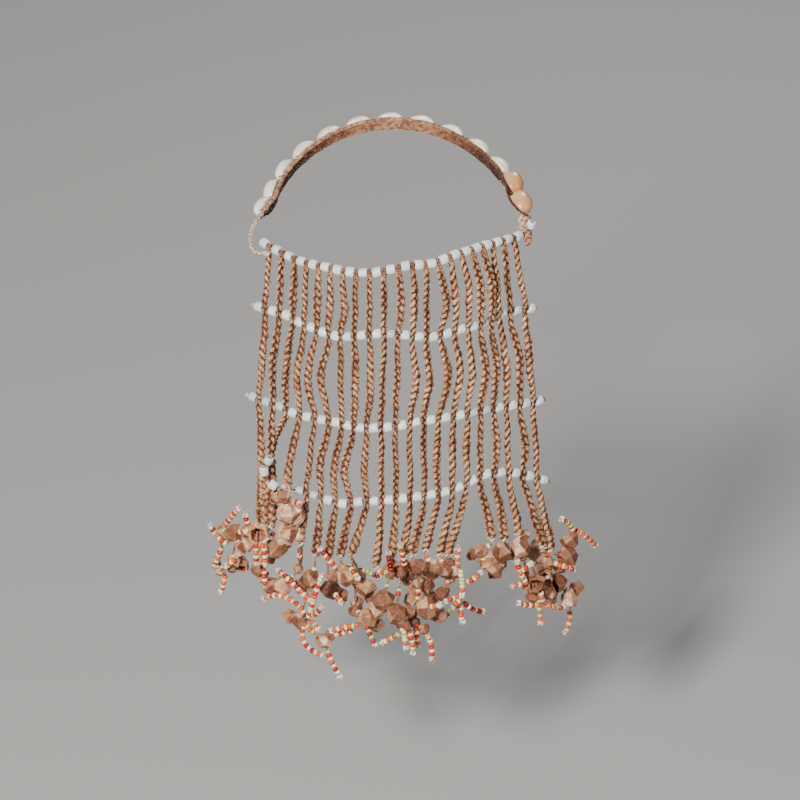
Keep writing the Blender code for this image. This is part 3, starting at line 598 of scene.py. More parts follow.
def relief(tree, shader, height, strength, distance):
    """A bump from a height, joined to the shader."""
    inputs = {"Strength": strength, "Distance": distance, "Height": height}
    tree.links.new(put(tree, "ShaderNodeBump", inputs).outputs["Normal"], shader.inputs["Normal"])


# %% Plaited plant fibre
# Heights in metres where painted shade towards the hem begins and where it is full
HEM_PAINTED_SHADE_START = -0.12
HEM_PAINTED_SHADE_END = -0.24
PROUD_SHARE = 1.2
STREAK_SHARE = 0.74
LIT_SHIFT = 0.68


def fibre_finish(name, colours, hem_painted_shade):
    """Dry plant fibre: painted shade in crevices, painted light where proud, streaked along each
    ply.
    """
    material, tree, shader = new_finish(name, 0.82)
    streak = streaked(tree)
    # How proud a point stands puts painted shade in the crevices and painted light on the proud
    # plies.
    proud = maths(tree, "MULTIPLY", on_mesh(tree, "proud"), PROUD_SHARE)
    lit = maths(tree, "ADD", proud, maths(tree, "MULTIPLY", streak, STREAK_SHARE))
    colour = ramp(tree, maths(tree, "SUBTRACT", lit, LIT_SHIFT), colours)
    flecks = tinted(tree, colour, paint(168, 142, 124))
    colour = blotched(tree, colour, flecks, scale=850.0, amount=0.75, shift=0.2)
    patches = tinted(tree, colour, paint(206, 180, 160))
    colour = blotched(tree, colour, patches, scale=34.0, amount=0.8)
    # Painted shade darkens the fibre towards the hem.
    height = put(tree, "ShaderNodeSeparateXYZ", {0: on_object(tree)}).outputs[2]
    limits = {0: height, 1: HEM_PAINTED_SHADE_START, 2: HEM_PAINTED_SHADE_END}
    near_hem = put(tree, "ShaderNodeMapRange", limits).outputs[0]
    shade = maths(tree, "MULTIPLY", near_hem, hem_painted_shade)
    colour = tinted(tree, colour, paint(196, 162, 140), shade)
    tree.links.new(colour, shader.inputs["Base Color"])
    uneven_gloss(tree, shader, streak, amount=0.2, least=0.7)
    relief(tree, shader, streak, strength=0.9, distance=0.0006)
    return material


fibre = fibre_finish(
    "plaited_fibre_dry",
    stops(
        (0.34, 30, 11, 6),
        (0.49, 78, 41, 26),
        (0.62, 156, 101, 66),
        (0.75, 212, 154, 110),
        (0.92, 255, 218, 176),
    ),
    hem_painted_shade=0.15,
)
twine = fibre_finish(
    "knotted_twine",
    stops((0.20, 70, 34, 22), (0.45, 150, 96, 68), (0.70, 214, 168, 138), (0.95, 240, 214, 190)),
    hem_painted_shade=0.35,
)
thong_hide = fibre_finish(
    "pale_thong",
    stops((0.0, 110, 76, 54), (0.24, 172, 138, 108), (0.44, 218, 200, 178), (0.80, 250, 243, 232)),
    hem_painted_shade=0.0,
)
print("fibre finishes:", fibre.name, twine.name, thong_hide.name)

# %% Loose fibres and frayed ends
def loose_finish(name, dark, pale):
    """Thin stray fibre, darker at its root."""
    material, tree, shader = new_finish(name, 0.75)
    colour = ramp(tree, on_mesh(tree, "tone"), ((0.0, dark), (1.0, pale)))
    colour = blotched(tree, colour, pale, scale=260.0, amount=0.6)
    tree.links.new(colour, shader.inputs["Base Color"])
    return material


stray_fibre = loose_finish("stray_fibre", paint(150, 100, 70), paint(240, 214, 186))
frayed = loose_finish("frayed_ends", paint(206, 164, 140), paint(246, 236, 228))

# %% [markdown]
# ## Glass
#
# The large beads are opaque white glass, tubular with rounded ends, and worn to a satin. They are
# a touch cooler than the rest, a few are greyer, and dirt sits where thread and cord rub them. The
# small beads are shinier and come in cream, pale green, peach, orange red and deep red.

# %% White glass of the large beads
bead_glass, tree, shader = new_finish(
    "white_glass", 0.36, subsurface_weight=0.12, subsurface_scale=0.002
)
colours = stops(
    (0.0, 150, 128, 112), (0.25, 168, 178, 186), (0.55, 214, 222, 226), (1.0, 238, 242, 242)
)
colour = ramp(tree, on_mesh(tree, "tone"), colours)
colour = blotched(tree, colour, paint(196, 198, 196), scale=330.0, amount=0.5)
dirt = paint(120, 96, 80)
colour = rubbed(tree, colour, dirt, "rim", sharpness=2.2, amount=0.75, scale=500.0)
tree.links.new(colour, shader.inputs["Base Color"])
fine = grained(tree, 1500.0)
uneven_gloss(tree, shader, fine, amount=0.3, least=0.22)
relief(tree, shader, fine, strength=0.25, distance=0.0002)

# %% Coloured glass of the small beads
seed_glass, tree, shader = new_finish("seed_bead_glass", 0.24)
colours = stops(
    (0.00, 234, 216, 152),
    (0.16, 244, 230, 184),
    (0.32, 192, 204, 134),
    (0.44, 244, 186, 140),
    (0.56, 226, 88, 38),
    (0.70, 196, 40, 22),
    (0.86, 158, 20, 16),
    (0.96, 92, 12, 12),
)
colour = ramp(tree, on_mesh(tree, "tone"), colours, "CONSTANT")
dust = tinted(tree, colour, paint(226, 206, 186))
colour = blotched(tree, colour, dust, scale=700.0, amount=0.3)
tree.links.new(colour, shader.inputs["Base Color"])
fine = grained(tree, 1800.0)
uneven_gloss(tree, shader, fine, amount=0.35, least=0.1)
relief(tree, shader, fine, strength=0.12, distance=0.0002)
print("glass finishes:", bead_glass.name, seed_glass.name)

# %% [markdown]
# ## Shell, nut and hide
#
# A nut shell is matte, from red-brown to pale tan, with a tone for each flat facet, painted shade
# on the facets that face down and a dark hollow. A cowrie is glossy ivory with a warm flush. The
# waistband is hide and fibre, tan along its rubbed edge, and painted shade makes its inner face
# almost black-brown away from the back.

# %% Outside and hollow of the nut shells
nut_outside, tree, shader = new_finish("nut_shell_outside", 0.6)
colours = stops(
    (0.0, 74, 18, 12),
    (0.25, 116, 62, 40),
    (0.45, 132, 84, 56),
    (0.6, 182, 134, 98),
    (0.8, 224, 180, 142),
    (1.0, 252, 228, 202),
)
colour = ramp(tree, on_mesh(tree, "tone"), colours)
flush = tinted(tree, colour, paint(200, 162, 138))
colour = blotched(tree, colour, flush, scale=210.0, amount=0.9)
colour = blotched(tree, colour, paint(146, 96, 64), scale=560.0, amount=0.5, shift=0.22)
colour = rubbed(tree, colour, paint(250, 232, 214), "edge", sharpness=9.0, amount=0.05)
tree.links.new(colour, shader.inputs["Base Color"])
relief(tree, shader, grained(tree, 430.0), strength=0.8, distance=0.0006)

nut_hollow, tree, shader = new_finish("nut_shell_hollow", 0.7)
colours = stops((0.2, 72, 18, 12), (0.5, 124, 60, 40), (0.9, 204, 146, 106))
colour = ramp(tree, on_mesh(tree, "tone"), colours)
flush = tinted(tree, colour, paint(190, 140, 116))
colour = blotched(tree, colour, flush, scale=260.0, amount=0.9)
tree.links.new(colour, shader.inputs["Base Color"])
relief(tree, shader, grained(tree, 500.0), strength=0.6, distance=0.0006)

# %% Glossy shell of the cowries
cowrie_gloss, tree, shader = new_finish(
    "cowrie_gloss", 0.3, coat_weight=0.55, coat_roughness=0.12
)
colours = stops((0.0, 204, 142, 90), (0.4, 238, 208, 166), (0.7, 250, 247, 241))
colour = ramp(tree, on_mesh(tree, "tone"), colours)
flush = tinted(tree, colour, paint(236, 206, 172))
colour = blotched(tree, colour, flush, scale=150.0, amount=0.45)
stain = paint(176, 140, 108)
colour = rubbed(tree, colour, stain, "edge", sharpness=3.0, amount=0.5, scale=500.0)
tree.links.new(colour, shader.inputs["Base Color"])
relief(tree, shader, grained(tree, 420.0), strength=0.1, distance=0.0004)

# %% Hide and fibre of the waistband
RUBBED_SHARE = 0.62
FIBROUS_SHARE = 0.42
INNER_PAINTED_SHADE = 0.16

band_finish, tree, shader = new_finish("waistband_hide", 0.85)
fibrous = streaked(tree, Run_density=230.0, Round_density=66.0)
rubbed_edge = maths(tree, "MULTIPLY", on_mesh(tree, "edge"), RUBBED_SHARE)
lit = maths(tree, "ADD", rubbed_edge, maths(tree, "MULTIPLY", fibrous, FIBROUS_SHARE))
# Painted shade darkens the inner face.
inner = maths(tree, "MULTIPLY", on_mesh(tree, "inner"), INNER_PAINTED_SHADE)
colours = stops(
    (0.05, 42, 12, 7),
    (0.30, 86, 40, 25),
    (0.55, 146, 98, 68),
    (0.80, 208, 162, 126),
    (1.00, 238, 206, 172),
)
colour = ramp(tree, maths(tree, "SUBTRACT", lit, inner), colours)
patches = tinted(tree, colour, paint(166, 128, 102))
colour = blotched(tree, colour, patches, scale=280.0, amount=0.9)
tree.links.new(colour, shader.inputs["Base Color"])
relief(tree, shader, fibrous, strength=1.0, distance=0.0009)
print("materials made:", len(bpy.data.materials))

# %% [markdown]
# ## Geometry Nodes for what repeats
#
# Three trees make nearly every repeated thing here. The first plaits or twists plies along a line.
# The second lets stray fibres stand out of a plait. The third sets one shape on many stored
# points, and makes the beads, knots and frayed ends. A line or a point carries its own sizes as
# named numbers.

# %% Helpers that carry a mesh through a tree
def store(mesh, name, kind, values):
    """Keeps a number or a vector for each point of a mesh, under a name."""
    field = "vector" if kind == "FLOAT_VECTOR" else "value"
    layer = mesh.attributes.new(name, kind, "POINT")
    layer.data.foreach_set(field, np.asarray(values, dtype=np.float32).ravel())


def socket_of(tree, label):
    """The identifier of a tree's input, which a modifier is set by."""
    for item in tree.interface.items_tree:
        if item.item_type == "SOCKET" and item.in_out == "INPUT" and item.name == label:
            return item.identifier
    raise KeyError(label)


def grown(name, mesh, tree, inputs):
    """A plain mesh object: what the tree makes of a mesh with these inputs."""
    piece = bpy.data.objects.new(name, mesh)
    bpy.context.scene.collection.objects.link(piece)
    modifier = piece.modifiers.new(tree.name, "NODES")
    modifier.node_group = tree
    for label, value in inputs.items():
        modifier[socket_of(tree, label)] = value
    bpy.context.view_layer.update()
    view = bpy.context.evaluated_depsgraph_get()
    result = bpy.data.meshes.new_from_object(
        piece.evaluated_get(view), preserve_all_data_layers=True, depsgraph=view
    )
    piece.modifiers.clear()
    piece.data = result
    result.name = name
    return piece


def stored(tree, name, kind="FLOAT"):
    """A named number or vector, read inside a tree."""
    inputs = {"Name": name}
    return put(tree, "GeometryNodeInputNamedAttribute", inputs, data_type=kind).outputs[0]


def keep(tree, geometry, name, value, kind="FLOAT", domain="POINT"):
    """Stores a named number or vector inside a tree."""
    inputs = {0: geometry, "Name": name, 3: value}
    settings = {"data_type": kind, "domain": domain}
    return put(tree, "GeometryNodeStoreNamedAttribute", inputs, **settings).outputs[0]


def realized(tree, geometry, material):
    """Real geometry in one material."""
    real = put(tree, "GeometryNodeRealizeInstances", {0: geometry}).outputs[0]
    return put(tree, "GeometryNodeSetMaterial", {0: real, "Material": material}).outputs[0]


def turned_to(tree, way):
    """A rotation that turns the Z axis to a direction."""
    return put(tree, "FunctionNodeAlignRotationToVector", {"Vector": way}, axis="Z").outputs[0]


def set_on_points(tree, points, shape, rotation, scale, material):
    """Real copies of an object's shape on points."""
    one = put(tree, "GeometryNodeObjectInfo", {"Object": shape}).outputs["Geometry"]
    inputs = {"Points": points, "Instance": one, "Rotation": rotation, "Scale": scale}
    copies = put(tree, "GeometryNodeInstanceOnPoints", inputs).outputs[0]
    return realized(tree, copies, material)


# %% [markdown]
# ### Plaits and twists
#
# In a plait of three, each ply swings from side to side once while it passes in and out twice.
# Drawn from the end, its path is a figure of eight. A twist is simpler: each ply turns in a
# circle. Both are a sine across and a sine in depth, so one tree makes both. A star profile that
# turns along each ply gives it the ridges of its own fine strands.

# %% Build the tree that plaits
ROUGH_SCALE = 520.0
ROUGH_MIDDLE = (0.5, 0.5, 0.5)

tree, entry, leave = new_tree(
    "plait_along_a_line",
    "GeometryNodeTree",
    (
        ("Geometry", GEOMETRY, None),
        ("Plies", "NodeSocketInt", 3),
        ("Pitch", FLOAT, 0.0205),
        ("Spread", FLOAT, 0.52),
        ("Depth", FLOAT, 0.36),
        ("Beats", FLOAT, 2.0),
        ("Shift", FLOAT, 0.0),
        ("Ply size", FLOAT, 0.54),
        ("Sides", "NodeSocketInt", 10),
        ("Ridge", FLOAT, 0.17),
        ("Rough", FLOAT, 0.6),
        ("Ply twist", FLOAT, 1250.0),
        ("Material", "NodeSocketMaterial", None),
    ),
    (("Geometry", GEOMETRY),),
)

# The line is copied once for each ply, and remembers its own place and length
position = put(tree, "GeometryNodeInputPosition").outputs[0]
length = put(tree, "GeometryNodeSplineParameter").outputs["Length"]
line = put(tree, "GeometryNodeMeshToCurve", {0: entry["Geometry"]}).outputs[0]
line = keep(tree, line, "axis", position, "FLOAT_VECTOR")
line = keep(tree, line, "run", length)
inputs = {"Geometry": line, "Amount": entry["Plies"]}
copies = put(tree, "GeometryNodeDuplicateElements", inputs, domain="SPLINE").outputs
line = keep(tree, copies["Geometry"], "ply", copies["Duplicate Index"], domain="CURVE")

# Each ply swings across and in depth, a share of a turn after the one before
share = maths(tree, "DIVIDE", stored(tree, "ply"), entry["Plies"])
turns = maths(tree, "DIVIDE", stored(tree, "run"), entry["Pitch"])
phase = maths(tree, "MULTIPLY", maths(tree, "ADD", share, turns), TURN)
girth = stored(tree, "girth")
tangent = put(tree, "GeometryNodeInputTangent").outputs[0]
side = vectors(tree, "CROSS_PRODUCT", tangent, stored(tree, "facing", "FLOAT_VECTOR"))
side = vectors(tree, "NORMALIZE", side)
front = vectors(tree, "CROSS_PRODUCT", side, tangent)
across = maths(tree, "MULTIPLY", maths(tree, "SINE", phase), entry["Spread"])
beats = maths(tree, "ADD", maths(tree, "MULTIPLY", phase, entry["Beats"]), entry["Shift"])
deep = maths(tree, "MULTIPLY", maths(tree, "SINE", beats), entry["Depth"])
swing = vectors(tree, "ADD", stretched(tree, side, across), stretched(tree, front, deep))
swing = stretched(tree, swing, girth)
line = put(tree, "GeometryNodeSetPosition", {"Geometry": line, "Offset": swing}).outputs[0]
tilt = maths(tree, "MULTIPLY", stored(tree, "run"), entry["Ply twist"])
line = put(tree, "GeometryNodeSetCurveTilt", {0: line, "Tilt": tilt}).outputs[0]

# The profile is a star: every other point of a circle stands out
inputs = {"Resolution": entry["Sides"], "Radius": 1.0}
star = put(tree, "GeometryNodeCurvePrimitiveCircle", inputs).outputs[0]
index = put(tree, "GeometryNodeInputIndex").outputs[0]
wave = maths(tree, "COSINE", maths(tree, "MULTIPLY", index, math.pi))
bulge = maths(tree, "ADD", maths(tree, "MULTIPLY", wave, entry["Ridge"]), 1.0)
inputs = {"Geometry": star, "Position": stretched(tree, position, bulge)}
star = put(tree, "GeometryNodeSetPosition", inputs).outputs[0]
star = keep(tree, star, "around", put(tree, "GeometryNodeSplineParameter").outputs["Factor"])
size = maths(tree, "MULTIPLY", girth, entry["Ply size"])
inputs = {"Curve": line, "Profile Curve": star, "Scale": size, "Fill Caps": True}
swept = put(tree, "GeometryNodeCurveToMesh", inputs).outputs[0]

# The surface knows how proud of the plait it stands, and is made a little uneven
away = vectors(tree, "SUBTRACT", position, stored(tree, "axis", "FLOAT_VECTOR"))
reach = maths(tree, "MULTIPLY", girth, maths(tree, "ADD", entry["Spread"], entry["Ply size"]))
swept = keep(tree, swept, "proud", maths(tree, "DIVIDE", vectors(tree, "LENGTH", away), reach))
uneven = vectors(tree, "SUBTRACT", noise(tree, position, ROUGH_SCALE, 2.0)[1], ROUGH_MIDDLE)
uneven = stretched(tree, stretched(tree, uneven, entry["Rough"]), girth)
swept = put(tree, "GeometryNodeSetPosition", {"Geometry": swept, "Offset": uneven}).outputs[0]
swept = put(tree, "GeometryNodeSetShadeSmooth", {0: swept}).outputs[0]
tree.links.new(realized(tree, swept, entry["Material"]), leave["Geometry"])
plait_tree = tree
print("plait tree:", len(plait_tree.nodes), "nodes")

# %% [markdown]
# ### Stray fibres
#
# Dry plant fibre is never quite smooth. Short ends stand out of a plait at low angles. A particle
# system could grow them, but points spread over the mesh give plain geometry that goes along with
# the piece.

# %% Build the tree that lets stray fibres stand out
tree, entry, leave = new_tree(
    "stray_fibres",
    "GeometryNodeTree",
    (
        ("Geometry", GEOMETRY, None),
        ("Fibre", "NodeSocketObject", None),
        ("Density", FLOAT, 5000.0),
        ("Seed", "NodeSocketInt", 0),
        ("Shortest", FLOAT, 0.0012),
        ("Longest", FLOAT, 0.0034),
        ("Lean", FLOAT, 1.0),
        ("Least proud", FLOAT, 0.7),
        ("Material", "NodeSocketMaterial", None),
    ),
    (("Geometry", GEOMETRY),),
)
inputs = {0: stored(tree, "proud"), 1: entry["Least proud"]}
outer = put(tree, "FunctionNodeCompare", inputs).outputs[0]
inputs = {"Mesh": entry["Geometry"], "Selection": outer}
inputs.update({"Density": entry["Density"], "Seed": entry["Seed"]})
roots = put(tree, "GeometryNodeDistributePointsOnFaces", inputs).outputs
inputs = {0: (-1.0, -1.0, -1.0), 1: (1.0, 1.0, 1.0), "Seed": entry["Seed"]}
lean = put(tree, "FunctionNodeRandomValue", inputs, data_type="FLOAT_VECTOR").outputs[0]
heading = vectors(tree, "ADD", roots["Normal"], stretched(tree, lean, entry["Lean"]))
inputs = {2: entry["Shortest"], 3: entry["Longest"], "Seed": entry["Seed"]}
reach = put(tree, "FunctionNodeRandomValue", inputs).outputs[1]
hairs = set_on_points(
    tree, roots["Points"], entry["Fibre"], turned_to(tree, heading), reach, entry["Material"]
)
both = put(tree, "GeometryNodeJoinGeometry", {0: entry["Geometry"]})
tree.links.new(hairs, both.inputs[0])
tree.links.new(both.outputs[0], leave["Geometry"])
stray_tree = tree
print("stray fibre tree:", len(stray_tree.nodes), "nodes")

# %% [markdown]
# ### One shape on many points
#
# A bead has a way that its hole runs, three sizes, a turn about its hole and a tone. Each is
# stored on a point, and the tree reads them back when it sets the shape there. The stored names go
# along with every copy, so the material can still pick each bead's own colour.

# %% Build the tree that sets a shape on points
tree, entry, leave = new_tree(
    "shape_on_points",
    "GeometryNodeTree",
    (
        ("Geometry", GEOMETRY, None),
        ("Shape", "NodeSocketObject", None),
        ("Material", "NodeSocketMaterial", None),
    ),
    (("Geometry", GEOMETRY),),
)
inputs = {"Axis": (0.0, 0.0, 1.0), "Angle": stored(tree, "spin")}
spin = put(tree, "FunctionNodeAxisAngleToRotation", inputs).outputs[0]
inputs = {0: turned_to(tree, stored(tree, "along", "FLOAT_VECTOR")), 1: spin}
rotation = put(tree, "FunctionNodeRotateRotation", inputs, rotation_space="LOCAL").outputs[0]
size = stored(tree, "size", "FLOAT_VECTOR")
copies = set_on_points(
    tree, entry["Geometry"], entry["Shape"], rotation, size, entry["Material"]
)
tree.links.new(copies, leave["Geometry"])
scatter_tree = tree
print("scatter tree:", len(scatter_tree.nodes), "nodes")

# %% [markdown]
# ## The shapes that are set on points
#
# Each of these is made once at unit size: a tubular bead, a flat round bead, one hair, a spray of
# hairs and a knot. They are low in faces, because some are set hundreds of times.

# %% Helpers that make meshes by code
def new_piece(name, shape, smooth_faces=True):
    """An object from a finished bmesh, with its normals turned outward."""
    bmesh.ops.recalc_face_normals(shape, faces=shape.faces)
    mesh = bpy.data.meshes.new(name)
    shape.to_mesh(mesh)
    shape.free()
    if smooth_faces:
        mesh.shade_smooth()
    piece = bpy.data.objects.new(name, mesh)
    bpy.context.scene.collection.objects.link(piece)
    return piece


def ring_round(shape, middle, side, third, radius, sides):
    """A ring of vertices round a middle, in the plane of two directions."""
    ring = []
    for k in range(sides):
        turn = side * math.cos(TURN * k / sides) + third * math.sin(TURN * k / sides)
        ring.append(shape.verts.new(middle + turn * radius))
    return ring


def ring_wall(shape, rings, close_ends=False):
    """Faces between rings of vertices, each ring closed on itself."""
    for low, high in zip(rings, rings[1:] + (rings[:1] if close_ends else [])):
        for i in range(len(low)):
            j = (i + 1) % len(low)
            shape.faces.new((low[i], low[j], high[j], high[i]))


def capped_wall(shape, rings):
    """Faces between rings of vertices, and one more over each end."""
    ring_wall(shape, rings)
    shape.faces.new(list(reversed(rings[0])))
    shape.faces.new(rings[-1])


def turned(name, profile, sides, rims):
    """A closed ring shape, turned about Z from a closed (radius, height) profile."""
    shape = bmesh.new()
    rings = []
    for radius, height in profile:
        angles = [TURN * i / sides for i in range(sides)]
        places = [(radius * math.cos(angle), radius * math.sin(angle), height) for angle in angles]
        rings.append([shape.verts.new(place) for place in places])
    ring_wall(shape, rings, close_ends=True)
    piece = new_piece(name, shape)
    store(piece.data, "rim", "FLOAT", [rim for rim in rims for _ in range(sides)])
    return piece


# %% Make the tubular bead and the flat round bead
TUBULAR_SIDES = 20
ROUND_SIDES = 10

# Half the tubular bead's profile and the whole of the round one's, as radius and height, and how
# near the hole each point lies
TUBULAR_HALF = (
    (0.24, 0.82), (0.34, 0.95), (0.58, 1.0), (0.80, 0.97), (0.93, 0.85), (0.99, 0.58), (1.0, 0.22),
)
TUBULAR_RIM = (1.0, 0.95, 0.55, 0.30, 0.18, 0.05, 0.0)
ROUND_PROFILE = (
    (0.36, 0.0), (0.50, 0.86), (0.80, 0.92), (1.0, 0.0), (0.80, -0.92), (0.50, -0.86),
)
ROUND_RIM = (1.0, 0.6, 0.1, 0.0, 0.1, 0.6)

tubular_bead = turned(
    "tubular_bead",
    TUBULAR_HALF + tuple((radius, -height) for radius, height in reversed(TUBULAR_HALF)),
    TUBULAR_SIDES,
    TUBULAR_RIM + tuple(reversed(TUBULAR_RIM)),
)
round_bead = turned("round_bead", ROUND_PROFILE, ROUND_SIDES, ROUND_RIM)
print("faces of a bead:", len(tubular_bead.data.polygons), len(round_bead.data.polygons))

# %% Make one hair and a spray of hairs
HAIR_SIDES = 3
HAIR_RINGS = 3
HAIR_TAPER = 0.75
HAIR_TONES = [0.2] * HAIR_SIDES + [0.6] * HAIR_SIDES + [1.0] * (HAIR_SIDES + 1)
SPRAY_HAIRS = 11


def tapered_hair(shape, root, tip, bow, thickness):
    """A thin fibre from a root to a tip, bowed to one side."""
    along = (tip - root).normalized()
    aside = along.orthogonal().normalized()
    third = along.cross(aside)
    rings = []
    for i in range(HAIR_RINGS):
        share = i / HAIR_RINGS
        middle = root.lerp(tip, share) + bow * 4 * share * (1 - share)
        radius = thickness * (1 - HAIR_TAPER * share)
        rings.append(ring_round(shape, middle, aside, third, radius, HAIR_SIDES))
    ring_wall(shape, rings)
    point = shape.verts.new(tip)
    for k in range(HAIR_SIDES):
        shape.faces.new((rings[-1][k], rings[-1][(k + 1) % HAIR_SIDES], point))
    shape.faces.new(list(reversed(rings[0])))


shape = bmesh.new()
tapered_hair(shape, Vector((0.0, 0.0, 0.0)), UP, Vector((0.16, 0.0, 0.0)), 0.035)
hair = new_piece("hair", shape)
store(hair.data, "tone", "FLOAT", HAIR_TONES)

chance = random.Random(31)
shape = bmesh.new()
for _ in range(SPRAY_HAIRS):
    root = Vector((chance.uniform(-0.12, 0.12), chance.uniform(-0.12, 0.12), 0.0))
    tip = Vector((chance.uniform(-0.5, 0.5), chance.uniform(-0.5, 0.5), chance.uniform(0.55, 1.0)))
    bow = Vector((chance.uniform(-0.12, 0.12), chance.uniform(-0.12, 0.12), 0.0))
    tapered_hair(shape, root, tip, bow, chance.uniform(0.03, 0.06))
spray = new_piece("spray", shape)
print("faces of a spray:", len(spray.data.polygons))

# %% Make a knot
KNOT_STEPS = 26
KNOT_SIDES = 5
KNOT_TUBE = 0.36
KNOT_WIDTH = 3.4
KNOT_DEPTH = 2.4


def knot_point(angle):
    """A point on an overhand knot that is closed on itself, about one unit in radius."""
    across = math.sin(angle) + 2 * math.sin(2 * angle)
    ahead = math.cos(angle) - 2 * math.cos(2 * angle)
    return Vector((across / KNOT_WIDTH, ahead / KNOT_WIDTH, -math.sin(3 * angle) / KNOT_DEPTH))


shape = bmesh.new()
rings = []
for step in range(KNOT_STEPS):
    angle = TURN * step / KNOT_STEPS
    middle = knot_point(angle)
    along = (knot_point(angle + 0.01) - knot_point(angle - 0.01)).normalized()
    side = along.cross(Vector((middle.x, middle.y, 0.0))).normalized()
    rings.append(ring_round(shape, middle, side, along.cross(side), KNOT_TUBE, KNOT_SIDES))
ring_wall(shape, rings, close_ends=True)
knot = new_piece("knot", shape)
# Points nearer the knot's middle are less proud, so the fibre ramp gives them painted shade.
knot_proud = [0.55 + 0.45 * min(1.0, vert.co.length) for vert in knot.data.vertices]
store(knot.data, "proud", "FLOAT", knot_proud)
print("faces of a knot:", len(knot.data.polygons))

# %% [markdown]
# ## Lines that carry plaits
#
# A plait needs a smooth line with its girth at each point, and a direction that it faces. The
# tables give a few points a cord, and a curve through them, evenly cut, gives the rest. Each cord
# also wanders a little and turns about itself, because no two are hung alike.

# %% Cut a smooth line through a few points
LEAST_GIRTH = 0.2
TWINE_STEP = 0.8
TWIST = {
    "Plies": 2,
    "Pitch": 0.0052,
    "Spread": 0.46,
    "Depth": 0.46,
    "Beats": 1.0,
    "Shift": math.pi / 2,
    "Ply size": 0.56,
    "Sides": 6,
}


def through(places, values, at):
    """Values on a smooth curve through the rows of a table, at many places."""
    places = np.asarray(places, float)
    values = np.asarray(values, float)
    slopes = np.empty_like(values)
    slopes[1:-1] = (values[2:] - values[:-2]) / (places[2:] - places[:-2])[:, None]
    slopes[0] = (values[1] - values[0]) / (places[1] - places[0])
    slopes[-1] = (values[-1] - values[-2]) / (places[-1] - places[-2])
    i = np.clip(np.searchsorted(places, at, side="right") - 1, 0, len(places) - 2)
    span = (places[i + 1] - places[i])[:, None]
    t = (np.asarray(at) - places[i])[:, None] / span
    from_ends = values[i] * (2 * t**3 - 3 * t**2 + 1) + values[i + 1] * (3 * t**2 - 2 * t**3)
    from_slopes = slopes[i] * (t**3 - 2 * t**2 + t) + slopes[i + 1] * (t**3 - t**2)
    return from_ends + from_slopes * span


def even_line(route, step):
    """Evenly spaced points and radii along a smooth line through (point, radius) pairs."""
    points = np.array([tuple(point) for point, _ in route])
    lengths = np.concatenate([[0.0], np.cumsum(np.linalg.norm(np.diff(points, axis=0), axis=1))])
    at = np.linspace(0.0, lengths[-1], max(int(lengths[-1] / step), 3) + 1)
    found = through(lengths, np.column_stack([points, [radius for _, radius in route]]), at)
    return found[:, :3], np.maximum(found[:, 3], LEAST_GIRTH), at


def carrier(name, lines):
    """One mesh of separate lines, from (points, girths, facings) in millimetres."""
    mesh = bpy.data.meshes.new(name)
    edges = []
    start = 0
    for points, _, _ in lines:
        edges += [(i, i + 1) for i in range(start, start + len(points) - 1)]
        start += len(points)
    mesh.from_pydata((np.concatenate([line[0] for line in lines]) * MM).tolist(), edges, [])
    store(mesh, "girth", "FLOAT", np.concatenate([line[1] for line in lines]) * MM)
    store(mesh, "facing", "FLOAT_VECTOR", np.concatenate([line[2] for line in lines]))
    return mesh


def twine_line(route, step=TWINE_STEP):
    """A line for thin twine: its points, its girths and a facing that its run never meets."""
    points, girths, _ = even_line(route, step)
    run = Vector(points[-1] - points[0]).normalized()
    facing = run.orthogonal().normalized()
    return points, girths, np.tile(tuple(facing), (len(points), 1))


def even_twine(points, girth, step=TWINE_STEP):
    """A line for thin twine of one girth."""
    return twine_line([(point, girth) for point in points], step)


def twisted(name, lines, material, **changes):
    """Lines of twine as one mesh object, each of two plies twisted together."""
    inputs = {**TWIST, "Material": material, **changes}
    return grown(name, carrier(name, lines), plait_tree, inputs)


# %% Keep every finished piece in one list
finished = []


def finish_piece(piece, nodes):
    """Makes a piece ride with the apron, hides the solids that it replaces and keeps it in a list.
    """
    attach(piece, "root")
    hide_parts(*nodes)
    finished.append(piece)
    return piece


def stray(piece, density, seed, **changes):
    """The same piece with stray fibres standing out of it."""
    inputs = {"Fibre": hair, "Density": density, "Seed": seed, "Material": stray_fibre, **changes}
    mesh = piece.data
    name = piece.name
    bpy.data.objects.remove(piece)
    return grown(name, mesh, stray_tree, inputs)


# Where a shape is set: the way that its Z axis points, its width and length, its turn and its tone
Spot = namedtuple("Spot", "place along wide long spin tone", defaults=(0.5,))


def triangles(piece):
    """How many triangles a piece is made of."""
    return sum(len(face.vertices) - 2 for face in piece.data.polygons)


def scattered(name, spots, shape, material):
    """One mesh object with a shape set on each spot."""
    mesh = bpy.data.meshes.new(name)
    mesh.from_pydata([tuple(spot.place * MM) for spot in spots], [], [])
    store(mesh, "along", "FLOAT_VECTOR", [tuple(spot.along) for spot in spots])
    sizes = [(spot.wide * MM, spot.wide * MM, spot.long * MM) for spot in spots]
    store(mesh, "size", "FLOAT_VECTOR", sizes)
    store(mesh, "tone", "FLOAT", [spot.tone for spot in spots])
    store(mesh, "spin", "FLOAT", [spot.spin for spot in spots])
    return grown(name, mesh, scatter_tree, {"Shape": shape, "Material": material})


def merged(name, pieces):
    """One object from several, with their materials kept."""
    bpy.ops.object.select_all(action="DESELECT")
    for piece in pieces:
        piece.select_set(True)
    bpy.context.view_layer.objects.active = pieces[0]
    bpy.ops.object.join()
    pieces[0].name = name
    pieces[0].data.name = name
    return pieces[0]


# %% [markdown]
# ## The plaited cords
#
# Each cord is a plait of three plies about six millimetres across, with a crossing every seven.
# Where it passes a row of beads it is squeezed a little, and at the hem it swells in a knot. Two
# thin legs fold over the thread of the top row and go down into the plait.

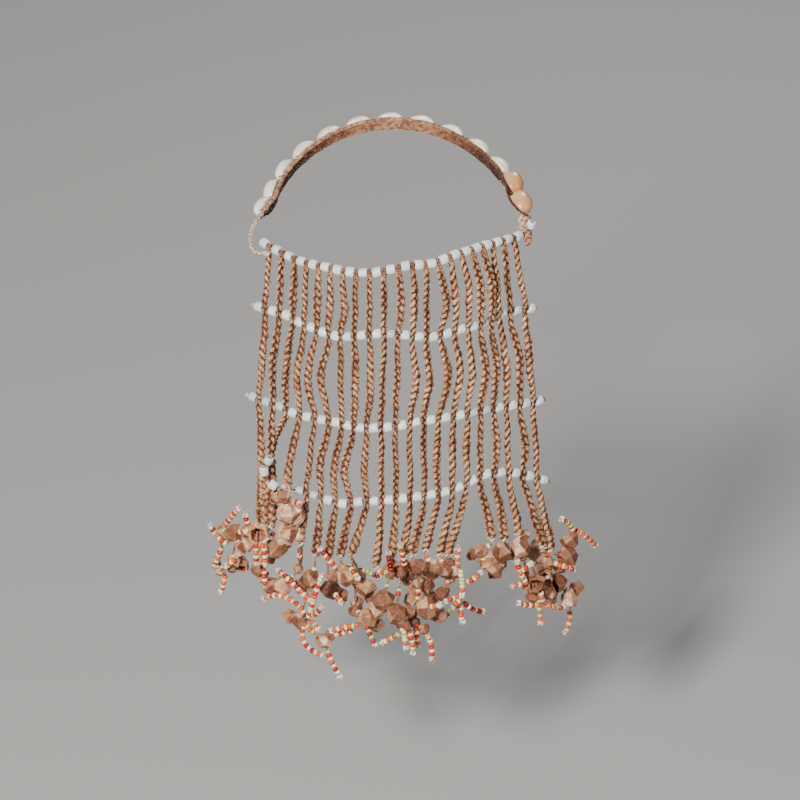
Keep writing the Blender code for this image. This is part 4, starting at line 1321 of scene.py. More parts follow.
# %% Plait the cords
CORD_STEP = 0.95
CORD_PITCH = 0.0205
CORD_PITCHES = (0.88, 1.1)
CORD_FULLNESS = 1.22
CORD_START_DROP = 2.0
CORD_START_GIRTH = 2.0
CORD_STRAYS = 28000.0

# How a cord wanders, swells and turns, each with the length of its waves
CORD_WANDER = 0.35
WANDER_LENGTHS = (46.0, 21.0, 33.0)
WANDER_FADE = 12.0
CORD_SWELL = 0.05
SWELL_LENGTH = 17.0
CORD_TURN = 1.2
CORD_TURN_DRIFT = 0.45
DRIFT_LENGTH = 95.0

# Bunched cords are fuller near their end
BUNCH_SWELL = 1.25
BUNCH_FROM = 62.0
BUNCH_EASE = 24.0

# Where a cord crosses a row it goes in between the beads
CROSSING_IN = 2.5
CROSSING_GIRTH = 1.4
CROSSING_REACH = 0.5

# The course of a leg, from the crossing or from the thread: up, out and aside, and its girth
LEG_GIRTH = 0.95
Leg = namedtuple("Leg", "start up out aside girth")
LEG_COURSE = (
    Leg("crossing", -6.5, 0.0, 0.6, 1.5),
    Leg("crossing", -3.0, -0.8, 0.9, 1.2),
    Leg("crossing", 0.0, -1.4, 0.85, 1.0),
    Leg("thread", 2.0, 1.6, 0.66, 1.0),
    Leg("thread", 1.9, -1.2, 0.66, 1.0),
    Leg("thread", -1.4, -2.4, 0.66, 1.0),
    Leg("crossing", -6.0, -3.2, 0.5, 1.0),
    Leg("crossing", -9.0, -1.2, 0.3, 1.0),
)


def squeezed_route(cord):
    """A cord's points and radii, moved in between the beads where it crosses a row."""
    plain = cord_route(cord)
    held = [radius == CORD_PINCH_RADIUS for _, radius in plain] + [False]
    route = []
    for i, (point, radius) in enumerate(plain):
        share = 1.0 if held[i] else CROSSING_REACH * (held[i + 1] or held[i - 1])
        moved = point - outward(2, point.x) * CROSSING_IN * share
        route.append((moved, radius + (CROSSING_GIRTH - radius) * share))
    route[0] = (route[0][0] - UP * CORD_START_DROP, CORD_START_GIRTH)
    return route


def cord_line(cord):
    """A cord's plait as a line: points, girths and the way that it faces."""
    chance = random.Random(500 + cord)
    points, girths, at = even_line(squeezed_route(cord), CORD_STEP)
    phases = [chance.uniform(0.0, TURN) for _ in range(4)]
    pace = at * TURN
    fade = np.clip(np.minimum(at, at[-1] - at) / WANDER_FADE, 0.0, 1.0)
    wide, narrow, deep = (
        np.sin(pace / length + phase) for length, phase in zip(WANDER_LENGTHS, phases)
    )
    points[:, 0] += CORD_WANDER * fade * (wide + 0.5 * narrow)
    points[:, 1] += CORD_WANDER * fade * 0.5 * deep
    swell = CORD_SWELL * np.sin(pace / SWELL_LENGTH + phases[3])
    girths = girths * CORD_FULLNESS * (1.0 + swell)
    if cord in BUNCHED:
        near_end = np.clip((at - at[-1] + BUNCH_FROM) / BUNCH_EASE, 0.0, 1.0)
        girths *= 1.0 + (BUNCH_SWELL - 1.0) * near_end
    out = outward(2, points[0][0])
    base = math.atan2(out.y, out.x) + chance.uniform(-CORD_TURN, CORD_TURN)
    angles = base + CORD_TURN_DRIFT * np.sin(pace / DRIFT_LENGTH + phases[1])
    facings = np.column_stack([np.cos(angles), np.sin(angles), np.zeros(len(angles))])
    return points, girths, facings


def top_legs(cord):
    """The two thin legs that fold over the top row's thread."""
    thread = row_point(1, cord + 0.5)
    out = outward(1, thread.x)
    side = UP.cross(out)
    starts = {"thread": thread, "crossing": held_point(1, cord)}
    lines = []
    for sign in (-1.0, 1.0):
        near = side * sign
        route = []
        for leg in LEG_COURSE:
            place = starts[leg.start] + UP * leg.up + out * leg.out + near * leg.aside
            route.append((place, LEG_GIRTH * leg.girth))
        lines.append(twine_line(route))
    return lines


for cord in range(1, CORDS + 1):
    name = f"cord_{cord:02d}"
    pitch = CORD_PITCH * random.Random(cord).uniform(*CORD_PITCHES)
    inputs = {"Pitch": pitch, "Material": fibre}
    plait = grown(name + "_plait", carrier(name, [cord_line(cord)]), plait_tree, inputs)
    plait = stray(plait, CORD_STRAYS, cord, Longest=0.0042, Lean=1.5)
    legs = twisted(name + "_legs", top_legs(cord), fibre)
    finish_piece(merged(name + "_plait", [plait, legs]), [name])
print("triangles in the first cord:", triangles(finished[0]))

# %% [markdown]
# ## The bead rows
#
# A thread runs through the twenty-two beads of a row and ends in a knot past each end bead. The
# beads differ a little in size and tone, and a few are smaller and greyer, as old glass beads are.

# %% String the rows
BEAD_HALF = BEAD_LENGTH / 2
BEAD_CLOSE = 1.06
BEAD_SPREAD = 0.05
THREAD_GIRTH = 0.75

# A row's end knot: its largest size, and how far out it and its frayed end may lie
ROW_KNOT = 2.1
ROW_KNOT_OUT = 2.4
ROW_KNOT_SHARE = 0.45
ROW_END_WIDTH = 0.7

# Beads that stand out in their row: how much smaller they are, and their tone
ODD_BEADS = {
    2: {11: (0.88, 0.30), 18: (0.90, 0.28), 19: (0.86, 0.06)},
    3: {1: (0.97, 0.40), 2: (0.95, 0.34), 3: (0.95, 0.36), 17: (0.92, 0.32), 18: (0.90, 0.30)},
    4: {1: (0.95, 0.42), 5: (0.94, 0.34), 6: (0.92, 0.30)},
}


def row_direction(row, bead):
    """The way that a row's thread runs at a bead."""
    return (row_point(row, bead + 0.3) - row_point(row, bead - 0.3)).normalized()


def bead_spots(row):
    """Where each bead of a row sits, with its size and tone."""
    chance = random.Random(700 + row)
    odd = ODD_BEADS.get(row, {})
    spots = []
    for bead in range(1, BEADS_IN_ROW + 1):
        girth = BEAD_RADIUS * (1.0 + chance.uniform(-BEAD_SPREAD, BEAD_SPREAD))
        half = BEAD_HALF * (BEAD_CLOSE + chance.uniform(-BEAD_SPREAD, BEAD_SPREAD * 0.4))
        tone = chance.uniform(0.5, 1.0)
        if bead in odd:
            scale, tone = odd[bead]
            girth *= scale
            half *= scale
        lean = Vector((0.0, chance.uniform(-0.05, 0.05), chance.uniform(-0.09, 0.09)))
        along = (row_direction(row, bead) + lean).normalized()
        place = row_point(row, bead)
        spots.append(Spot(place, along, girth, half, chance.uniform(0.0, TURN), tone))
    return spots


def end_spots(place, along, reach):
    """Where the knot at a row's end sits, and the frayed end past it."""
    size = min(ROW_KNOT, max(reach * ROW_KNOT_SHARE, 1.0))
    middle = place + along * min(reach * ROW_KNOT_SHARE, ROW_KNOT_OUT)
    long = max(reach - 1.0, 1.2)
    falling = (along - UP * 0.25).normalized()
    end = Spot(middle + along * 0.8, falling, long * ROW_END_WIDTH, long, 1.0, 0.6)
    return Spot(middle, along, size, size, 0.4), end


for row, plan in enumerate(ROWS, start=1):
    name = f"bead_row_{row}"
    beads = scattered(name + "_beads", bead_spots(row), tubular_bead, bead_glass)
    finish_piece(beads, [name])
    first = row_direction(row, 1)
    last = row_direction(row, BEADS_IN_ROW)
    left = row_point(row, 1) - first * BEAD_HALF
    right = row_point(row, BEADS_IN_ROW) + last * BEAD_HALF
    course = [left - first * plan.left_knot * 0.5]
    course += [row_point(row, bead) for bead in range(1, BEADS_IN_ROW + 1)]
    course.append(right + last * plan.right_knot * 0.5)
    thread = twisted(name + "_thread", [even_twine(course, THREAD_GIRTH)], twine)
    left_spots = end_spots(left, -first, plan.left_knot)
    right_spots = end_spots(right, last, plan.right_knot)
    knots, ends = zip(left_spots, right_spots)
    tied = scattered(name + "_knots", knots, knot, twine)
    frayed_ends = scattered(name + "_ends", ends, spray, frayed)
    finish_piece(merged(name + "_thread", [thread, tied, frayed_ends]), [name])
print("bead rows strung, pieces so far:", len(finished))

# %% [markdown]
# ## The waistband
#
# The waistband is a flat strip of hide and fibre, eleven millimetres high. Its edges are rubbed
# and a little wavy, and its inner face is rough. It is drawn as a ring of points at each station,
# which follows the waist more closely than a bent flat strip would.

# %% Sizes and course of the waistband
BAND_HALF_WIDTH = 103.5
BAND_HALF_DEPTH = 97.0
BAND_HEIGHT = 11.5
BAND_THICKNESS = 2.4
BAND_START_DEGREES = -97.0
BAND_END_DEGREES = 99.0
BAND_STATIONS = 36

# It rises to the back, leans a little to the right and flares near its ends
BAND_SIDE_LEVEL = 5.5
BAND_LEAN = 1.0
BAND_BACK_RISE = 35.0
BAND_RISE_POWER = 1.6
BAND_FLARE = 14.0
BAND_FLARE_FROM = 80.0


def band_point(degrees):
    """The middle of the waistband's wall at an angle from the middle of the back."""
    angle = math.radians(degrees)
    past = (abs(degrees) - BAND_FLARE_FROM) / (BAND_END_DEGREES - BAND_FLARE_FROM)
    ease = min(max(past, 0.0), 1.0) ** 2
    across = BAND_HALF_WIDTH * math.sin(angle) + math.copysign(BAND_FLARE * ease, degrees)
    rise = BAND_BACK_RISE * max(math.cos(angle), 0.0) ** BAND_RISE_POWER
    height = BAND_SIDE_LEVEL - BAND_LEAN * math.sin(angle) + rise
    return Vector((across, BAND_HALF_DEPTH * math.cos(angle), height))


def band_stations():
    """Evenly turned points along the waistband, each with the length from its left end."""
    points = []
    length = 0.0
    for i in range(BAND_STATIONS):
        share = i / (BAND_STATIONS - 1)
        point = band_point(BAND_START_DEGREES + (BAND_END_DEGREES - BAND_START_DEGREES) * share)
        if points:
            length += (point - points[-1][1]).length
        points.append((length, point))
    return points


def band_place(distance):
    """The band's middle at a length from its left end, and the directions along and out of it."""
    courses = [[(length, point[axis]) for length, point in band_stations()] for axis in range(3)]
    here = Vector([smooth(course, distance) for course in courses])
    ahead = Vector([smooth(course, distance + 1.0) for course in courses])
    along = (ahead - here).normalized()
    return here, along, UP.cross(Vector((along.x, along.y, 0.0))).normalized()


band_length = band_stations()[-1][0]
print("the waistband is", round(band_length), "mm long")

# %% Model the waistband
BAND_RINGS = 190
BAND_FUZZ = 220000.0
BAND_FACE = 0.92

# Its ends taper, and the right one lies over by a turn that eases in before the end
BAND_TAPER = 16.0
BAND_END_HEIGHT = 4.0
BAND_LIE = 0.75
BAND_LIE_FROM = 78.0
BAND_LIE_EASE = 44.0

# The lip along its inner edge fades to the right, and its inner face is paler at the back, where
# its painted shade fades out
LIP_FADE = 0.6
LIP_DEPTH = -1.2
BACK_REACH = 0.22
BACK_PALE = 0.6

# Waves of its edges: how many, and the least and most of their length and size
BAND_WAVES = 7
WAVE_LENGTHS = (7.0, 34.0)
WAVE_SIZES = (0.08, 0.22)

# The strip's section: height and depth as shares, how rubbed it is, and whether it faces in and
# takes painted shade
Section = namedtuple("Section", "height depth edge inner")
BAND_SECTION = (
    Section(1.03, -0.6, 1.0, 0.0),
    Section(0.96, 0.7, 0.9, 0.0),
    Section(0.80, 1.0, 0.45, 0.0),
    Section(0.30, 1.12, 0.2, 0.0),
    Section(-0.30, 1.12, 0.2, 0.0),
    Section(-0.80, 1.0, 0.4, 0.0),
    Section(-0.96, 0.7, 0.8, 0.0),
    Section(-1.00, 0.0, 0.9, 0.5),
    Section(-0.95, -0.75, 0.6, 1.0),
    Section(-0.70, -1.0, 0.2, 1.0),
    Section(0.0, -0.92, 0.12, 1.0),
    Section(0.46, -1.1, 0.3, 1.0),
    Section(0.64, -2.3, 0.62, 0.5),
    Section(0.92, -2.2, 0.95, 0.1),
)


def band_half_height(distance):
    """Half the strip's height at a length from its left end."""
    share = min(min(distance, band_length - distance) / BAND_TAPER, 1.0)
    return (BAND_END_HEIGHT + (BAND_HEIGHT - BAND_END_HEIGHT) * math.sqrt(max(share, 0.0))) / 2


def band_side(distance):
    """The strip's own up and out at a length: its right end lies over, with its shells on top."""
    out = band_place(distance)[2]
    share = min(max((distance - band_length + BAND_LIE_FROM) / BAND_LIE_EASE, 0.0), 1.0)
    lie = Matrix.Rotation(BAND_LIE * share * share * (3.0 - 2.0 * share), 3, out.cross(UP))
    return lie @ UP, lie @ out


chance = random.Random(11)
waves = [
    (chance.uniform(*WAVE_LENGTHS), chance.uniform(0.0, TURN), chance.uniform(*WAVE_SIZES))
    for _ in range(BAND_WAVES)
]
shape = bmesh.new()
rings = []
layers = {"edge": [], "inner": [], "run": [], "around": [], "proud": []}
for i in range(BAND_RINGS):
    distance = band_length * i / (BAND_RINGS - 1)
    middle = band_place(distance)[0]
    up, out = band_side(distance)
    half = band_half_height(distance)
    lip = 1.0 - LIP_FADE * max(2 * distance / band_length - 1, 0.0)
    back = math.exp(-(((distance / band_length - 0.5) / BACK_REACH) ** 2))
    ring = []
    for k, section in enumerate(BAND_SECTION):
        ripple = sum(
            size * math.sin(distance * TURN / length + start + k * 0.5)
            for length, start, size in waves
        )
        rise = section.height * half + ripple * 0.5 * abs(section.height)
        depth = section.depth * (lip if section.depth < LIP_DEPTH else 1.0)
        depth = depth * BAND_THICKNESS / 2 * BAND_FACE + ripple * 0.22
        ring.append(shape.verts.new((middle + up * rise + out * depth) * MM))
        rubbing = section.edge * lip * lip + section.inner * BACK_PALE * back
        layers["edge"].append(min(rubbing, 1.0))
        # The inner face takes painted shade, except at the back.
        layers["inner"].append(section.inner * (1.0 - back))
        layers["run"].append(distance * MM)
        layers["around"].append(k / len(BAND_SECTION))
        layers["proud"].append(1.0)
    rings.append(ring)
capped_wall(shape, rings)
band = new_piece("waistband_strip", shape)
for label, values in layers.items():
    store(band.data, label, "FLOAT", values)
band.data.materials.append(band_finish)
band = stray(band, BAND_FUZZ, 3, Shortest=0.0008, Longest=0.0032, Lean=1.3)
finish_piece(band, ["waistband"])
print("waistband faces:", len(band.data.polygons))

# %% [markdown]
# ## The cowries
#
# Thirteen cowries lie lengthwise on the outside of the strip. A cowrie is a glossy egg-shaped dome
# with a knobbly rim where the shell turns under. A curved grid over that shape is closer to it
# than a stretched sphere. Fibre stitches pass over both ends of each shell and round the strip.

# %% Model and sew on the cowries
COWRIES = 13
COWRIE_LENGTH = 24.5
COWRIE_WIDTH = 16.5
COWRIE_DOME = 9.4
COWRIE_BASE = 0.9
COWRIE_EGG = 0.12
COWRIE_BEND_ROOM = 0.2
COWRIE_FIRST = 12.5
COWRIE_LAST = 24.0

# The grid over a shell, from under its rim to just below its top, and the knobs of its rim
COWRIE_AROUND = 34
COWRIE_UP = 12
COWRIE_UNDER = 0.9
COWRIE_TOP = math.pi / 2 - 0.02
COWRIE_FLAT = 0.66
COWRIE_RIM = 0.5
COWRIE_KNOBS = 7
COWRIE_KNOB = 0.022

# How the shells differ, by the last number of each kind, and how far they lie down and along
Kind = namedtuple("Kind", "last dome wide size warmth down along")
COWRIE_KINDS = (
    Kind(3, 1.0, 1.0, 1.0, 0.85, 0.0, 0.0),
    Kind(11, 1.1, 0.94, 1.0, 0.85, 0.0, 0.0),
    Kind(12, 1.3, 1.14, 1.0, 0.18, 1.6, 0.0),
    Kind(13, 1.3, 1.14, 1.12, 0.18, 1.6, 3.0),
)

# A stitch: its girth and step, how far in from the shell's end, and its height and depth over it
STITCH_GIRTH = 0.6
STITCH_STEP = 0.9
STITCH_IN = 0.9
STITCH_FOOT = 5.2
STITCH_TOP = 2.2
STITCH_OUT = 1.5


def cowrie_frame(number):
    """Where a cowrie sits, with the directions along the strip, up its face and out of it."""
    step = (band_length - COWRIE_FIRST - COWRIE_LAST) / (COWRIES - 1)
    distance = COWRIE_FIRST + step * (number - 1)
    place, along, _ = band_place(distance)
    out = band_side(distance)[1]
    foot = BAND_THICKNESS / 2 + GAP + COWRIE_BASE + COWRIE_BEND_ROOM
    return place + out * foot, along, out.cross(along), out


def cowrie_point(turn, lift, knob_turn):
    """A point of the shell, as shares of its length, width and height, and how near its rim."""
    flat = max(math.cos(lift), 0.0) ** COWRIE_FLAT
    rim = max(1.0 - abs(lift) / COWRIE_RIM, 0.0)
    knob = 1.0 + COWRIE_KNOB * rim * math.sin(COWRIE_KNOBS * turn + knob_turn)
    x = math.cos(turn) * flat * knob
    y = math.sin(turn) * flat * knob * (1.0 + COWRIE_EGG * math.cos(turn))
    return x, y, math.sin(lift), rim


def cowrie_shell(number):
    """One cowrie with its dome out."""
    chance = random.Random(900 + number)
    kind = next(kind for kind in COWRIE_KINDS if number <= kind.last)
    place, along, across, out = cowrie_frame(number)
    place = place - across * kind.down + along * kind.along
    size = (1.0 + chance.uniform(-0.02, 0.03)) * kind.size
    knob_turn = chance.uniform(0.0, TURN)
    warmth = kind.warmth + chance.uniform(-0.08, 0.1)
    shape = bmesh.new()
    rings = []
    edges = []
    tones = []
    for i in range(COWRIE_UP + 1):
        lift = -COWRIE_UNDER + (math.pi / 2 + COWRIE_UNDER) * i / COWRIE_UP
        lift = lift if i < COWRIE_UP else COWRIE_TOP
        ring = []
        for k in range(COWRIE_AROUND):
            x, y, z, rim = cowrie_point(TURN * k / COWRIE_AROUND, lift, knob_turn)
            high = z * (COWRIE_DOME * kind.dome if z > 0 else COWRIE_BASE / math.sin(COWRIE_UNDER))
            spot = place + along * (x * size * COWRIE_LENGTH / 2)
            spot = spot + across * (y * kind.wide * COWRIE_WIDTH / 2)
            ring.append(shape.verts.new((spot + out * high) * MM))
            edges.append(rim)
            tones.append(warmth - 0.2 * x)
        rings.append(ring)
    capped_wall(shape, rings)
    piece = new_piece(f"cowrie_{number:02d}_shell", shape)
    store(piece.data, "edge", "FLOAT", edges)
    store(piece.data, "tone", "FLOAT", tones)
    piece.data.materials.append(cowrie_gloss)
    return piece


def cowrie_stitches(number):
    """Two stitches of twine that hold a cowrie's ends to the strip."""
    place, along, across, out = cowrie_frame(number)
    middle = place - out * (COWRIE_BASE + GAP + COWRIE_BEND_ROOM + BAND_THICKNESS / 2)
    lines = []
    for sign in (-1.0, 1.0):
        end = along * sign * (COWRIE_LENGTH / 2 - STITCH_IN)
        points = [
            middle + end + across * STITCH_FOOT,
            place + end + across * STITCH_TOP + out * STITCH_OUT,
            place + end - across * STITCH_TOP + out * STITCH_OUT,
            middle + end - across * STITCH_FOOT,
        ]
        lines.append(even_twine(points, STITCH_GIRTH, STITCH_STEP))
    return lines


sewing = []
for number in range(1, COWRIES + 1):
    finish_piece(cowrie_shell(number), [f"cowrie_{number:02d}"])
    sewing += cowrie_stitches(number)
stitches = twisted("cowrie_stitches", sewing, twine)
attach(stitches, "root")
print("triangles of a cowrie:", triangles(finished[-1]), "of the stitches:", triangles(stitches))

# %% [markdown]
# ## The thong and the tie
#
# A thin thong ties the waistband's left end to the first cord. At the right a knotted tie joins it
# to the top row, with a small white bead and a frayed tip. Both are twine, twisted along the same
# points that the plain solids follow.

# %% Tie the left end
THONG_GIRTH = 1.2 * 1.4
THONG_START = 5.0
THONG_SIDE = (-1.0, 0.35, 0.0)
THONG_DROP = 5.2
THONG_IN_CORD = 0.6
THONG_BENDS = ((-121.5, -25.0, -1.0), (-122.5, -36.0, -6.0), (-119.0, -46.0, -11.5))
THONG_PLAIT = {"Plies": 3, "Pitch": 0.02, "Spread": 0.6, "Depth": 0.25, "Beats": 2.0, "Sides": 8}

start, along, _ = band_place(0.0)
tied_at = held_point(1, 1) - UP * THONG_DROP
thong_end = tied_at + Vector(THONG_SIDE).normalized() * (CORD_RADIUS - THONG_IN_CORD)
course = [start + along * 2.0, start - along * THONG_START]
course += [Vector(point) for point in THONG_BENDS] + [thong_end]
points, girths, _ = even_twine(course, THONG_GIRTH)
line = (points, girths, np.tile(tuple(UP), (len(points), 1)))
thong = twisted("left_thong_twine", [line], thong_hide, **THONG_PLAIT)
knots = [
    Spot(thong_end + Vector((1.2, -0.8, 0.2)), Vector((0.1, 0.2, 1.0)).normalized(), 3.6, 3.0, 0.3),
    Spot(start - along * 1.5, along, 2.3, 2.0, 0.9),
]
thong_knots = scattered("left_thong_knots", knots, knot, thong_hide)
finish_piece(merged("left_thong_twine", [thong, thong_knots]), ["left_thong"])

# %% Tie the right end
TIE_GIRTH = 1.5 * 1.8
TIE_FULLNESS = 1.5
TIE_MOST = 3.3
TIE_STRING_GIRTH = 0.6
TIE_KNOT_WAY = Vector((0.2, -1.0, -0.2))

# The tie's course with its radii, its knots with their sizes, and the string through its bead
TIE_COURSE = (
    ((116.2, -26, 2.2), 1.5),
    ((115.4, -33, 1.2), 1.7),
    ((114.6, -38.5, 0.3), 3),
    ((114.4, -43, 0.3), 3.6),
    ((114, -47, -1.5), 2.4),
    ((114.6, -49, -6.5), 0.8),
)
TIE_KNOTS = (
    ((109.5, -33.5, 12.5), 3.7),
    ((110.5, -37.0, 8.0), 3.4),
    ((112.5, -39.5, 3.5), 3.2),
    ((114.4, -43.0, 1.5), 3.2),
)
TIE_STRING = (
    (114.8, -33.5, 0),
    (115.9, -34.2, 5),
    (116.9, -34.8, 8),
    (117.9, -35.1, 11),
    (120.6, -33.5, 13.2),
)
TIE_BEAD_ENDS = ((116, -34.3, 5.2), (117.8, -35.1, 10.8))

start, along, _ = band_place(band_length)
route = [(start - along * 4.0, TIE_GIRTH)]
route += [(Vector(point), min(radius * TIE_FULLNESS, TIE_MOST)) for point, radius in TIE_COURSE]
string = even_twine([Vector(point) for point in TIE_STRING], TIE_STRING_GIRTH)
knots = [Spot(Vector(place), TIE_KNOT_WAY, size, size, size) for place, size in TIE_KNOTS]
tufts = [
    Spot(Vector((114.2, -46.5, -1.5)), Vector((0.1, -0.4, -1.0)).normalized(), 4.2, 7.5, 0.5),
    Spot(Vector((120.0, -33.8, 12.6)), Vector((0.8, 0.4, 0.6)).normalized(), 1.2, 2.4, 0.5),
]
parts = [
    twisted("right_tie_twine", [twine_line(route)], twine, Sides=8, Pitch=0.008),
    twisted("right_tie_string", [string], twine),
    scattered("right_tie_knots", knots, knot, twine),
    scattered("right_tie_tufts", tufts, spray, frayed),
]
finish_piece(merged("right_tie_twine", parts), ["right_tie"])
low, high = (Vector(end) for end in TIE_BEAD_ENDS)
bead = Spot(low.lerp(high, 0.5), (high - low).normalized(), 3.9, 3.5, 0.0, 0.85)
tie_bead = scattered("right_tie_bead", [bead], tubular_bead, bead_glass)
finish_piece(tie_bead, ["right_tie"])
print("pieces so far:", len(finished))

# %% [markdown]
# ## The tassels
#
# A tassel is a bunch of broken nut shells, knots and short strands of seed beads. Two tables say
# where the shells and strands lie. Each shell is a thin wall turned from a profile that goes up
# the outside and down the inside, then made uneven, so that its hollow is real and its facets stay
# flat. Each tassel has three pieces: its shells, its strings with their knots and frayed ends, and
# its small beads.

# %% Nut shells of the tassels

# The nut shells of each tassel, placed as the hem shows from above the front: across, below and out
# of the panel, then the width, and the side that the mouth faces
Nut = namedtuple("Nut", "tassel across below out width mouth_right mouth_down mouth_front")
NUT_ROWS = {
    1: (
        (-117.5, 27, 12, 19, 0, 0, 1), (-128, 26, 10, 10, -1, 1, 1), (-139, 28, 10, 14.5, 2, 0, 1),
        (-150, 24, 5, 8, -1, -1, 0), (-134, 43, 14, 13.5, 1, -1, 1), (-133.5, 55, 2, 14.5, 0, 1, 2),
        (-139, 52, 14, 11.5, -1, 1, 0), (-151, 61, 6, 10, 0, 1, 0),
    ),
    2: (
        (-102, 41, 2, 17, -1, 2, 0), (-108, 49, -4, 13.5, 0, 1, 1), (-118.5, 60, 4, 11.5, -1, 2, 1),
    ),
    3: (
        (-94, -5, 19, 13.5, 0, -2, 1), (-93, 10, 18, 17, 1, 0, 2), (-93, 25, 14, 16, 0, 3, 1),
    ),
    4: ((-83, 59, -6, 9, -1, 1, 1), (-96, 73, 10, 17, 2, 0, 1)),
    5: (
        (-72, 68, 12, 17, 1, 2, 1), (-82, 102, 28, 14.5, 0, 1, -1), (-62, 121, 34, 13.5, 1, 1, 0),
    ),
    6: ((-55, 78, -4, 16, 0, 1, 2),),
    7: (
        (-40, 64, 18, 17, 1, 2, 1), (-50, 64, 14, 12.5, 0, 1, 3), (-24, 74, 16, 14.5, -1, 2, 0),
    ),
    8: ((-33, 95, 8, 11.5, 0, 2, -1), (-23, 101, 24, 16, 2, 1, 0)),
    9: ((-4, 63, 10, 10, 1, 1, 3), (-9.5, 84, 30, 17, 0, 2, -1)),
    10: (
        (5, 61, 2, 12.5, 0, 2, 1), (2, 96, 40, 17, -1, 2, 0), (8, 107, 44, 12.5, 1, 2, 0),
    ),
    11: ((14, 63, -6, 11.5, 0, 1, 1), (15, 86, 6, 11.5, -1, 1, 2)),
    12: (
        (21, 57, 12, 14.5, 2, 2, 1), (18, 105, 28, 10, 0, 1, 2), (26, 111, 36, 9, 1, 2, 0),
    ),
    13: (
        (34, 56.5, 9, 12.5, 0, 2, -1), (29, 74, 4, 12.5, 0, 1, 2), (28, 91, 34, 19, 2, 0, 1),
    ),
    14: (
        (43, 60, 18, 12.5, 0, 2, -1), (51, 60, 14, 11.5, 0, 2, 1), (41, 80, 6, 12.5, 1, 1, 1),
    ),
    15: (
        (75, 44, 3, 12.5, -1, 2, 0), (79, 55, 8, 11.5, -1, 0, 2), (86, 60, 12, 14.5, -2, 1, 1),
    ),
    16: ((91.5, 44, 13, 17, 0, 2, 1), (100, 47, 6, 9, 1, 2, 0)),
    17: (
        (109, 40, 10, 16, 1, 2, 0), (112, 49, 8, 8, 0, 2, 1), (117, 74, 18, 10, -1, 0, 2),
        (123, 71, 24, 16, 0, 0, 1), (120, 83, 16, 11.5, 0, 2, 0),
    ),
    18: (
        (125.5, 44, -11, 19, 1, 2, 1), (134, 53.5, 4, 10, 1, 1, 1), (132, 66, 10, 13.5, 0, 0, 1),
        (143, 73, 8, 17, -1, 0, 1), (135, 79, 16, 12.5, 1, 0, 2), (153, 86, 8, 17, 0, 3, 0),
        (152, 50, 6, 16, -2, 1, 1), (153, 35, 8, 14.5, -1, -1, 1),
    ),
}
NUTS = {tassel: [Nut(tassel, *values) for values in rows] for tassel, rows in NUT_ROWS.items()}

print("nut shells:", sum(len(nuts) for nuts in NUTS.values()))

# %% Beaded strands of the tassels

